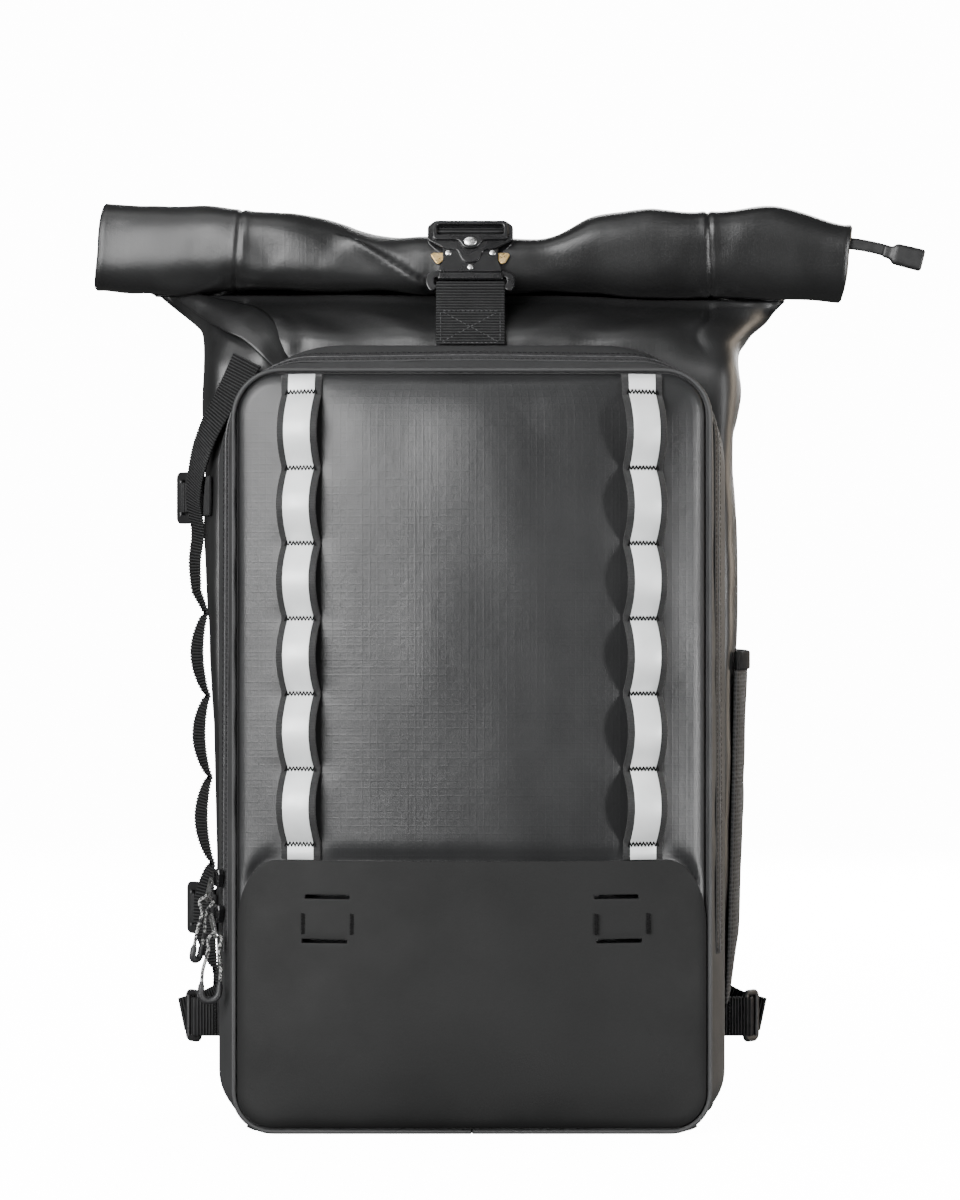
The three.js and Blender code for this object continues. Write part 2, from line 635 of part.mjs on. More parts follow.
// A point on a side panel, pushed out by an amount.
const onSide = (sign, y, z, out) => vec(sign * (sideX(y, z) + out), y, z);

function buildSideWebbing() {
  const { y, tacks, lift, low } = SIDE_WEB;
  const marks = SIDE_WEB_TOP.map((row) => ({ point: vec(row.x, row.y, row.z), turn: row.turn }));
  tacks.forEach((z, k) => {
    const next = tacks[k + 1] ?? low;
    const rise = k + 1 < tacks.length ? lift : 0;
    for (const t of steps(6).slice(0, -1)) {
      const out = 2 * GAP + rise * Math.sin(Math.PI * t) ** 0.8;
      marks.push({ point: onSide(SIDES.left, y, lerp(z, next, t), out), turn: 0 });
    }
  });
  marks.push({ point: onSide(SIDES.left, y, low, 2 * GAP), turn: 0 });
  const line = marks.map(({ point }) => point);
  const stations = line.map((point, i) => {
    const along = line[Math.min(i + 1, line.length - 1)].clone().sub(line[Math.max(i - 1, 0)]).normalize();
    const angle = rad(marks[i].turn);
    const across = vec(-Math.sin(angle), Math.cos(angle), 0);
    across.addScaledVector(along, -across.dot(along)).normalize();
    const out = along.clone().cross(across).normalize();
    if (out.x > 0) out.negate();
    return { point, across, out };
  });
  add('side_webbing', band(stations, WEBBING.width - 5, WEBBING.thick), 'webbing');
}

function buildCompressionStraps() {
  for (const [level, z] of Object.entries(LOCK_LEVELS)) {
    const depths = [-50, -44, -30, -10, 10, 30];
    const line = depths.map((y) => onSide(SIDES.left, y, z, 2 * GAP));
    const up = line.map(() => vec(0, 0, 1));
    const stations = stationsAlong(line, up, 8, vec(-1, 0, 0));
    add(`compression_strap_${level}`, band(stations, WEBBING.width, WEBBING.thick, GAP), 'webbing');

    // Ladder lock: a plastic frame with two slots, its front bar on the strap and its back swung out
    const { tall, deep, thick, front, swing, rim } = LOCK;
    const shape = roundedRectangle(tall / 2, 0, deep, 4);
    for (const [from, to] of [[rim, 9.5], [15, deep - rim]]) {
      shape.holes.push(rectangle(tall / 2 - rim, from, to));
    }
    const lock = new THREE.Group();
    lock.position.copy(onSide(SIDES.left, front, z, 3 * GAP + WEBBING.thick + 0.4));
    lock.rotation.set(0, -Math.PI / 2, 0);
    const swung = new THREE.Group();
    swung.rotation.x = rad(swing);
    lock.add(swung);
    bag.add(lock);
    add(`ladder_lock_${level}`, plate(shape, thick, 0.8, 2), 'plastic', swung);
  }
}

// Lower strap anchors: a webbing tab folded round the bar of a ring, on each side

function buildAnchors() {
  const { y, z, reach, barRadius } = ANCHOR;
  for (const [side, sign] of Object.entries(SIDES)) {
    const fold = barRadius + 0.9;
    const root = sideX(y, z) + 3 * GAP;
    const profile = [[root, -fold], [reach, -fold]];
    for (const t of steps(4).slice(1, -1)) {
      const angle = lerp(-Math.PI / 2, Math.PI / 2, t);
      profile.push([reach + fold * Math.cos(angle), fold * Math.sin(angle)]);
    }
    profile.push([reach, fold], [root, fold]);
    const centre = vec(sign * reach, y, z);
    const stations = profile.map(([x, dy], i) => {
      const [before, after] = [profile[Math.max(i - 1, 0)], profile[Math.min(i + 1, profile.length - 1)]];
      const along = vec(sign * (after[0] - before[0]), after[1] - before[1], 0).normalize();
      const out = along.clone().cross(vec(0, 0, sign)).normalize();
      return { point: vec(sign * x, y + dy, z), across: vec(0, 0, 1), out };
    });
    add(`anchor_tab_${side}`, band(stations, WEBBING.width, WEBBING.thick), 'webbing');

    const [tall, deep] = [WEBBING.width + 9, 15];
    const ringShape = roundedRectangle(tall / 2, -barRadius, deep, 5);
    ringShape.holes.push(rectangle(tall / 2 - 4, barRadius, deep - 4));
    const ring = new THREE.Group();
    ring.position.copy(centre);
    ring.rotation.z = sign * rad(-35);
    const upright = new THREE.Group();
    upright.rotation.y = -Math.PI / 2;
    ring.add(upright);
    bag.add(ring);
    const wire = 2 * barRadius - 0.8;
    add(`anchor_ring_${side}`, plate(ringShape, wire, 1, 2).translate(0, 0, -wire / 2), 'plastic', upright);
  }
}

// Right side: stretch mesh pocket with an elastic binding

function buildMeshPocket() {
  const { low, high, front, back, swell, thick, binding } = MESH;
  const grid = (heights, grow, lean) =>
    heights.map((z) =>
      steps(8).map((t) => {
        const y = lerp(front, back, t);
        const foot = low + 26 * t * t;
        const height = lerp(foot, high, z);
        const open = Math.sin(Math.PI * t) ** 0.5 * Math.min(1, z * 5 + lean) ** 0.7;
        return onSide(SIDES.right, y, height, MESH.seat + swell * open + grow);
      }),
    );
  const heights = [0, 0.06, 0.15, 0.4, 0.7, 1];
  add('mesh_pocket', sheetSolid(grid(heights, thick, 0), grid(heights, 0, 0)), 'mesh');
  const rim = [high + GAP, high + GAP + binding].map((z) => (z - low) / (high - low));
  const bandGrid = (grow) =>
    rim.map((share) =>
      steps(8).map((t) => {
        const y = lerp(front, back, t);
        const open = Math.sin(Math.PI * t) ** 0.5;
        return onSide(SIDES.right, y, low + share * (high - low), MESH.seat + swell * open + grow);
      }),
    );
  add('mesh_binding', sheetSolid(bandGrid(2), bandGrid(-0.4 + GAP)), 'webbing');
}

// Zip sliders at the lower left end of the zip, each with a metal tab, a cord loop and a soft grip

const PULLS = [
  { name: 'upper', z: 156, tab: 15, drop: 30, spread: 3.2, tilt: -34, away: 6, turn: 68 },
  { name: 'lower', z: 134, tab: 15, drop: 30, spread: 5.6, tilt: 35, away: 3, turn: 104 },
];
const CORD_RADIUS = 1.1;
const GRIP_RADIUS = 2.1;

// The frame of the zip on the left gusset at a height: a point, the way out and the way forward.
function zipFrame(z) {
  const [face, heel] = [faceHalf(z) + 0.5, HEEL.half];
  const middle = (ZIP.from + ZIP.to) / 2;
  const swell = GUSSET_SWELL * Math.sin(Math.PI * middle) ** 0.8;
  const point = vec(
    -(lerp(face, heel, middle) + swell + ZIP.thick + GAP),
    lerp(GUSSET_FRONT_Y, HEEL.y, middle) - swell * 0.6,
    z,
  );
  const forward = vec(heel - face, -(HEEL.y - GUSSET_FRONT_Y), 0).normalize();
  const out = vec(-(HEEL.y - GUSSET_FRONT_Y), -(heel - face), 0).normalize();
  return { point, out, forward };
}

function buildZipPulls() {
  for (const { name, z, tab, drop, spread, tilt, away, turn } of PULLS) {
    const { point, out, forward } = zipFrame(z);
    const pull = new THREE.Group();
    pull.applyMatrix4(new THREE.Matrix4().makeBasis(forward, vec(0, 0, 1), out).setPosition(point));
    bag.add(pull);

    // Slider: a tapered block with a bridge for the tab
    const block = plate(polygon([[-3.2, -5], [3.2, -5], [4.6, 3], [3.4, 6], [-3.4, 6], [-4.6, 3]]), 3.6, 0.6);
    const bridge = new THREE.BoxGeometry(1.8, 8, 2.4).translate(0, 0.5, 4.5);
    const tunnel = new THREE.BoxGeometry(6, 3.4, 1.6).translate(0, 0.2, 4.2);
    add(`zip_slider_${name}`, cut(join(block.translate(0, 0, GAP), bridge), tunnel), 'blackMetal', pull);

    // Tab: a flat strip with an eye for the cord, hanging in front of the slider
    const strip = plate(roundedRectangle(2.6, -tab, 1.6, 1.2), 1.2, 0, 2);
    const eyeTool = plate(rectangle(1.7, -tab + 1.2, -tab + 7), 4).translate(0, 0, -1);
    const bridgeTool = plate(rectangle(1.5, -2.8, 0.8), 4).translate(0, 0, -1);
    const hang = new THREE.Group();
    hang.position.set(0, -1.4, 6.4);
    hang.rotation.z = rad(tilt);
    pull.add(hang);
    add(`zip_tab_${name}`, cut(strip, eyeTool, bridgeTool), 'steel', hang);

    // Cord loop through the eye, hanging plumb and turned to face forward, its two ends in the grip
    const [swayX, eye] = [(tab - 2.6) * Math.sin(rad(tilt)), -1.4 - (tab - 2.6) * Math.cos(rad(tilt))];
    const bend = 4 * CORD_RADIUS;
    const low = eye - drop;
    const [aside, clear] = [Math.cos(rad(turn)), Math.sin(rad(turn))];
    const at = (x, y, z) => vec(swayX + x * aside, y, 7 + z + x * clear + (away * (eye - y)) / drop);
    const loop = [
      at(-spread, low, 0), at(-spread, low + 8, 0), at(-spread * 0.6, eye - 9, 0),
      at(0, eye - 2.5, -bend), at(0, eye + CORD_RADIUS, 0), at(0, eye - 2.5, bend),
      at(spread * 0.6, eye - 9, 0), at(spread, low + 8, 0), at(spread, low, 0),
    ];
    add(`pull_cord_${name}`, roundBar(loop, CORD_RADIUS, 6, 18), 'cord', pull);
    const grip = steps(6).map((t) => {
      const angle = lerp(Math.PI, 2 * Math.PI, t);
      return at(spread * Math.cos(angle), low - GAP - 5 + spread * Math.sin(angle), 0);
    });
    grip.unshift(at(-spread, low - GAP, 0));
    grip.push(at(spread, low - GAP, 0));
    add(`pull_grip_${name}`, roundBar(grip, GRIP_RADIUS, 8, 10), 'rubber', pull);
  }
}

// Back

function buildBack() {
  const { half, low, high, corner, thick } = PAD;
  const pad = plate(roundedRectangle(half, low, high, corner), thick, 3, 3);
  const backY = BODY[4].back + GAP;
  add('back_pad', pad.rotateX(Math.PI / 2).translate(0, backY + thick, 0), 'padding');

  // Hook rail: a bar with two downward hooks for a rack tube
  const face = backY + thick + GAP;
  const { half: reach, low: railLow, high: railHigh, thick: railThick, hookX, hookWide, throat } = RAIL;
  const bar = new THREE.BoxGeometry(2 * reach, railThick, railHigh - railLow);
  bar.translate(0, face + railThick / 2, (railLow + railHigh) / 2);
  const [inner, outer] = [railThick, railThick + throat];
  const profile = [
    [1, railHigh - 8], [1, railHigh + 4], [outer + 2, railHigh + 4], [outer + 4, railHigh + 1],
    [outer + 4, railLow - 4], [outer + 1.5, railLow - 6], [outer, railLow - 4], [outer, railHigh - 2],
    [outer - 2, railHigh], [inner + 2, railHigh], [inner, railHigh - 2], [inner, railHigh - 8],
  ];
  const hook = (x) => {
    const side = plate(polygon(profile.map(([y, z]) => [y, z])), hookWide, 0.8);
    side.rotateY(Math.PI / 2).rotateX(Math.PI / 2);
    return side.translate(x - hookWide / 2, face, 0);
  };
  add('hook_rail', join(bar, hook(-hookX), hook(hookX)), 'plastic');

  // Padded shoulder straps, and the webbing from each to its ring
  const STRAP = [
    { x: 38, y: 101.5, z: 466, wide: 52, thick: 7 },
    { x: 42, y: 116.5, z: 440, wide: 58, thick: 11 },
    { x: 48, y: 130, z: 400, wide: 62, thick: 12 },
    { x: 58, y: 137, z: 340, wide: 62, thick: 12 },
    { x: 72, y: 134, z: 270, wide: 58, thick: 12 },
    { x: 86, y: 124, z: 205, wide: 50, thick: 11 },
    { x: 94, y: 116, z: 165, wide: 36, thick: 7 },
  ];
  for (const [side, sign] of Object.entries(SIDES)) {
    const rings = STRAP.map((row, i) => {
      const [before, after] = [STRAP[Math.max(i - 1, 0)], STRAP[Math.min(i + 1, STRAP.length - 1)]];
      const along = vec(sign * (after.x - before.x), after.y - before.y, after.z - before.z).normalize();
      const across = vec(0, 1, 0).cross(along).normalize();
      const out = along.clone().cross(across).normalize();
      return steps(10).slice(0, -1).map((t) => {
        const angle = t * 2 * Math.PI;
        const [c, s] = [Math.cos(angle), Math.sin(angle)];
        return vec(sign * row.x, row.y, row.z)
          .addScaledVector(across, (row.wide / 2) * Math.sign(c) * Math.abs(c) ** 0.5)
          .addScaledVector(out, (row.thick / 2) * Math.sign(s) * Math.abs(s) ** 0.7);
      });
    });
    add(`shoulder_strap_${side}`, loft(rings), 'padding');

    const line = [
      vec(sign * 94, 116, 162), vec(sign * 104, 115.5, 135), vec(sign * 128, 114, 98),
      vec(sign * 152, 106, 74), vec(sign * 172, 95, 62), vec(sign * 190, 84.6, 57),
    ];
    const turn = [vec(sign, 0, 0.3), vec(sign, 0, 0.5), vec(sign * 0.7, 0, 0.7), vec(sign * 0.4, 0, 0.9), vec(0, 0, 1), vec(0, 0, 1)];
    const stations = stationsAlong(line, turn, 14, vec(0, 1, 0));
    add(`strap_webbing_${side}`, band(stations, WEBBING.width - 3, WEBBING.thick), 'webbing');
  }
}

// A closed solid through rings of equal length, with flat fans at its ends.
function loft(rings) {
  const size = rings[0].length;
  const points = rings.flat();
  const faces = [];
  for (let j = 0; j + 1 < rings.length; j++) {
    for (let i = 0; i < size; i++) {
      const [a, b] = [j * size + i, j * size + ((i + 1) % size)];
      faces.push(a, b, b + size, a, b + size, a + size);
    }
  }
  const last = (rings.length - 1) * size;
  for (let i = 1; i + 1 < size; i++) {
    faces.push(0, i + 1, i, last, last + i, last + i + 1);
  }
  return closedGeometry(points, faces);
}

buildMainCompartment();
buildPocket();
buildLadders();
buildRoll();
buildRollPull();
buildBuckle();
buildBuckleStraps();
buildSideWebbing();
buildCompressionStraps();
buildAnchors();
buildMeshPocket();
buildZipPulls();
buildBack();

export default bag;
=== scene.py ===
import math

import bpy
import numpy as np
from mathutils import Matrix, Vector
from mathutils.geometry import tessellate_polygon


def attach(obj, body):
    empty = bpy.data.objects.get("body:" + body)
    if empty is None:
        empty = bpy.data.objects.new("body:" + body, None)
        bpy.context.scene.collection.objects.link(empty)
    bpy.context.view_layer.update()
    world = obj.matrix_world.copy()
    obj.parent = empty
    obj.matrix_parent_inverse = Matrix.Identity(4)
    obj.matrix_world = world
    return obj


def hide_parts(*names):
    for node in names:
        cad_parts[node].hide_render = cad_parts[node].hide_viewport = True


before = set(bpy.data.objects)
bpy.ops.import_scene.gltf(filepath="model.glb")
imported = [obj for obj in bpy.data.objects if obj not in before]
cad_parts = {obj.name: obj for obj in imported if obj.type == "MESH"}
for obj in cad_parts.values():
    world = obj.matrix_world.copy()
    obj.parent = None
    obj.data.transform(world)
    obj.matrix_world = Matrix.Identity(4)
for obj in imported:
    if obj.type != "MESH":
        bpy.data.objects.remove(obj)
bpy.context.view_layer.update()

# A roll-top backpack pannier. Sizes are in millimetres, and become metres where a mesh is made.
# +Z is up, the front pocket faces -Y, and +X is to the right seen from the front.

MM = 0.001
GAP = 0.3
WALL = 2.0
SIDES = {"left": -1, "right": 1}
RIGHT, BACK, UP = np.eye(3)

# Camera: level, straight on to the front
CAMERA = {"place": (0.005, -2.702, 0.328), "lens": 127.8}

# Body, level by level: seam, reach of the side panel, front, back, boxiness and climb to the back
BODY_COLUMNS = ("z", "seam", "side", "front", "back", "boxy", "rise")
BODY = (
    (2.8, 132, 142, -50, 90, 4, 0),
    (12, 143, 152, -54, 96, 4, 0),
    (40, 147, 157.5, -55, 98, 4.5, 0),
    (150, 148, 161.5, -55, 98, 5, 0),
    (300, 148, 165.5, -55, 98, 5, 0),
    (420, 148, 168, -55, 98, 3.6, 0),
    (466, 148, 172, -55, 98, 3.2, 8),
    (488, 148, 172, -54, 92, 3, 17),
)
BODY_TOP = 488
FRONT_CELLS, SIDE_CELLS = 92, 64

# Pocket: the face ends hidden behind the lower panel
FACE = {"low": 4, "high": 467, "half": 144, "top": 27, "foot": 22, "y": -88, "bulge": 22, "hidden": 111}
HEEL = {"low": 2.8, "high": 486, "half": 157, "top": 76, "foot": 34, "y": -57.6}
GUSSET_FRONT = FACE["y"] + WALL + 2 * GAP
GUSSET_SWELL = 2
UNDERSIDE = 121.6  # how far the gusset runs on under the bag from each lower corner
LOWER = {"high": 169, "wide": 24, "tall": 42, "thick": 1.7}
SLOTS = {"x": (76, 104), "levels": ((118.7, 121.3), (145.7, 148.3))}
SLOT_TACKS = {"x": (-103, -73, 76, 108), "z": (127.5, 133.5)}
ZIP = {"from": 0.36, "to": 0.66, "low": 109}

# Webbing ladders
LADDER = {"x": 104, "top": 465, "first": 454.5, "pitch": 45.9, "loops": 6, "low": 169.6, "lift": 12}
WEBBING = {"width": 25, "thick": 1.6}
RIBS = (1.9, 0.42)  # pitch and depth
STRIPE = {"width": 16.5, "thick": 0.5}
TACK_LIFT = 0.2  # how far a bar tack stands on its strap

# Rolled closure: middle height and half height, station by station
ROLL = {
    "y": -8, "z": 545, "waist": 539, "depth": 27, "thick": 2.4, "boxy": 0.68, "swept": 14, "lean": 0.24,
    "start": -95, "turns": 2.25,
}
ROLL_WOUND = ((-95, 200, 265, 355, 715), (1, 1, 0.97, 0.86, 0.66))  # how the roll tightens as it turns
ROLL_STATIONS = (
    (-236, 553, 29), (-200, 550, 29.5), (-146, 548, 27), (-115, 547, 26), (-80, 542.5, 21),
    (-40, 539, 18), (0, 539, 18), (40, 539, 18), (80, 544.5, 24.5), (120, 546, 28),
    (146, 545.5, 27.5), (188, 546.5, 30), (234, 540, 25),
)
MOUTH_REACH = 198  # where the throat's ears meet the underside of the roll
ROLL_REACH = 235

BUCKLE = {"x": -1, "y": -33, "z": 543, "lean": math.radians(15)}


# Numbers

def lerp(a, b, t):
    return a + (b - a) * t


def ease(low, high, value):
    t = np.clip((value - low) / (high - low), 0, 1)
    return t * t * (3 - 2 * t)


def unit(vectors):
    return vectors / np.maximum(np.linalg.norm(vectors, axis=-1, keepdims=True), 1e-9)


def bell(value, width):
    """A smooth bump: 1 at zero, all but gone at two widths."""
    return np.exp(-((value / width) ** 2))


def power(value, exponent):
    """A power that keeps the value's sign."""
    return np.sign(value) * np.abs(value) ** exponent


def interp_rows(at, keys, rows):
    """Rows of a table at places between its keys."""
    return np.stack([np.interp(at, keys, column) for column in np.asarray(rows, float).T], axis=-1)


def curve_through(keys, values, at):
    """A smooth curve through a table's values that never overshoots them."""
    keys, values = np.asarray(keys, float), np.asarray(values, float)
    at = np.asarray(at, float)
    step = np.diff(keys)
    slope = np.diff(values) / step
    tangent = np.zeros_like(values)
    tangent[0], tangent[-1] = slope[0], slope[-1]
    same = slope[:-1] * slope[1:] > 0
    mean = 2 * slope[:-1] * slope[1:] / np.where(same, slope[:-1] + slope[1:], 1)
    tangent[1:-1] = np.where(same, mean, 0)
    i = np.clip(np.searchsorted(keys, at) - 1, 0, len(step) - 1)
    t = np.clip((at - keys[i]) / step[i], 0, 1)
    a, b = values[i], values[i + 1]
    ta, tb = tangent[i] * step[i], tangent[i + 1] * step[i]
    return a + t * ta + t**2 * (3 * (b - a) - 2 * ta - tb) + t**3 * (2 * (a - b) + ta + tb)


def lengths_along(line):
    steps = np.linalg.norm(np.diff(line, axis=0), axis=1)
    return np.concatenate([[0], np.cumsum(steps)])


def at_shares(line, shares):
    """Points of a line at shares of its length."""
    along = lengths_along(line)
    return interp_rows(np.asarray(shares) * along[-1], along, line)


def resample(line, count):
    """The same line with evenly spaced points."""
    return at_shares(line, np.linspace(0, 1, count))


def closer_at_ends(count):
    """Steps from -1 to 1 that are finest at both ends."""
    u = np.linspace(-1, 1, count + 1)
    return u * (1.3 - 0.3 * u * u)


def spline(points, count):
    """A smooth line through points, evenly spaced."""
    points = np.asarray(points, float)
    knots = np.concatenate([[0], np.cumsum(np.sqrt(np.linalg.norm(np.diff(points, axis=0), axis=1)))])
    longer = lambda rows: np.concatenate([[2 * rows[0] - rows[1]], rows, [2 * rows[-1] - rows[-2]]])
    points, times = longer(points), longer(knots)
    fine = []
    for i in range(len(knots) - 1):
        at = times[i:i + 4]
        t = np.linspace(at[1], at[2], 24, endpoint=False)[:, None]
        mix = lambda a, b, start, end: ((end - t) * a + (t - start) * b) / (end - start)
        first = [mix(points[i + k], points[i + k + 1], at[k], at[k + 1]) for k in range(3)]
        second = [mix(first[k], first[k + 1], at[k], at[k + 2]) for k in range(2)]
        fine.append(mix(*second, at[1], at[2]))
    fine.append(points[-2:-1])
    return resample(np.concatenate(fine), count)


def wobble(points, wavelength, seed, stretch=(1, 1, 1)):
    """Soft unevenness of about unit size, the same on every run."""
    rng = np.random.default_rng(seed)
    total = np.zeros(points.shape[:-1])
    waves = 14
    for _ in range(waves):
        way = unit(rng.normal(size=3)) * rng.uniform(0.6, 1.6) * 2 * math.pi / wavelength
        total += np.sin((points * np.asarray(stretch)) @ way + rng.uniform(0, 2 * math.pi))
    return total / math.sqrt(waves / 2)


def dent(points, rows):
    """Soft dents: where, how far each way they reach, and the push at their middle."""
    moved = points.copy()
    for place, reach, push in rows:
        gap = (points - np.asarray(place)) / np.asarray(reach)
        moved += np.exp(-np.sum(gap * gap, axis=-1))[..., None] * np.asarray(push)
    return moved


def fold(points, normals, rows):
    """Folds: ridges or, with a height below zero, valleys along a line from one point to another."""
    moved = points.copy()
    for start, end, width, height in rows:
        start, end = np.asarray(start, float), np.asarray(end, float)
        way = end - start
        share = np.clip(((points - start) @ way) / (way @ way), 0, 1)
        off = np.linalg.norm(points - (start + share[..., None] * way), axis=-1)
        taper = np.sin(math.pi * np.clip(share * 0.96 + 0.02, 0, 1)) ** 0.6
        moved += normals * (height * taper * bell(off, width))[..., None]
    return moved


def tuck(points, normals, rows):
    """Tucks: along a line the cloth on one hand stands above the cloth on the other, with a sharp edge."""
    moved = points.copy()
    for start, end, reach, above, below in rows:
        start, end = np.asarray(start, float), np.asarray(end, float)
        way = end - start
        share = ((points - start) @ way) / (way @ way)
        off = points - (start + np.clip(share, 0, 1)[..., None] * way)
        hand = np.sum(off * unit(np.cross(normals, unit(way))), axis=-1)
        deep = np.sum(off * normals, axis=-1)
        ends = ease(-0.06, 0.12, share) * ease(1.06, 0.88, share)
        fade = ends * np.exp(-np.abs(hand) / reach) * bell(deep, 16)
        moved += normals * (fade * lerp(-below, above, ease(-1.6, 1.6, hand)))[..., None]
    return moved


def mirrored(half):
    """A closed outline from its right half, listed from the top down."""
    half = np.asarray(half, float)
    return np.concatenate([half, half[::-1] * (-1, 1)])


def rounded(corners, radius, steps=5):
    """A closed outline with its corners rounded off."""
    corners = np.asarray(corners, float)
    line = []
    for a, b, c in zip(np.roll(corners, 1, 0), corners, np.roll(corners, -1, 0)):
        reach = min(radius, 0.45 * np.linalg.norm(a - b), 0.45 * np.linalg.norm(c - b))
        start, end = b + unit(a - b) * reach, b + unit(c - b) * reach
        t = np.linspace(0, 1, steps)[:, None]
        line.append((1 - t) ** 2 * start + 2 * t * (1 - t) * b + t * t * end)
    return np.concatenate(line)


def inset(line, by):
    """A closed outline moved to its left."""
    left = lambda way: np.stack([-way[:, 1], way[:, 0]], axis=1)
    before, after = left(unit(line - np.roll(line, 1, 0))), left(unit(np.roll(line, -1, 0) - line))
    return line + (before + after) / (1 + np.sum(before * after, axis=1, keepdims=True)) * by


def corner_cut(radius, height):
    """How much a round corner takes off the half width at a height from the outline's end."""
    return np.where(height < radius, radius - np.sqrt(np.clip(height * (2 * radius - height), 0, None)), 0)


def half_width(shape, z):
    """Half width of an outline at a height, following its round corners."""
    z = np.asarray(z, float)
    top, foot = corner_cut(shape["top"], shape["high"] - z), corner_cut(shape["foot"], z - shape["low"])
    return shape["half"] - top - foot


def edge_distance(shape, x, z):
    """How far a point lies inside an outline."""
    def corner(radius, height):
        aside = np.abs(x) - (shape["half"] - radius)
        return np.where((aside > 0) & (height > 0), radius - np.hypot(aside, height), np.inf)
    ends = np.minimum(shape["high"] - z, z - shape["low"])
    edge = np.minimum(shape["half"] - np.abs(x), ends)
    edge = np.minimum(edge, corner(shape["top"], z - (shape["high"] - shape["top"])))
    return np.minimum(edge, corner(shape["foot"], shape["low"] + shape["foot"] - z))


def face_half(z):
    return half_width(FACE, z)


def grid_normals(points, wrap=False):
    across = np.roll(points, -1, 1) - np.roll(points, 1, 1) if wrap else np.gradient(points, axis=1)
    return unit(np.cross(across, np.gradient(points, axis=0)))


def closed(rows):
    """Rows of a grid that end where they began."""
    return np.concatenate([rows, rows[:, :1]], axis=1)


def flat_of(points, wrap=False):
    """How far each point lies along its row and along its column, as if the sheet were flat."""
    points = closed(points) if wrap else points
    across = np.linalg.norm(np.diff(points, axis=1), axis=2).mean(axis=0)
    along = np.linalg.norm(np.diff(points, axis=0), axis=2)
    u = np.concatenate([[0], np.cumsum(across)])
    v = np.concatenate([np.zeros((1, points.shape[1])), np.cumsum(along, axis=0)])
    return np.stack([np.broadcast_to(u, v.shape), v], axis=-1)


# Meshes

def new_object(name, data):
    made = bpy.data.objects.new(name, data)
    bpy.context.scene.collection.objects.link(made)
    return made


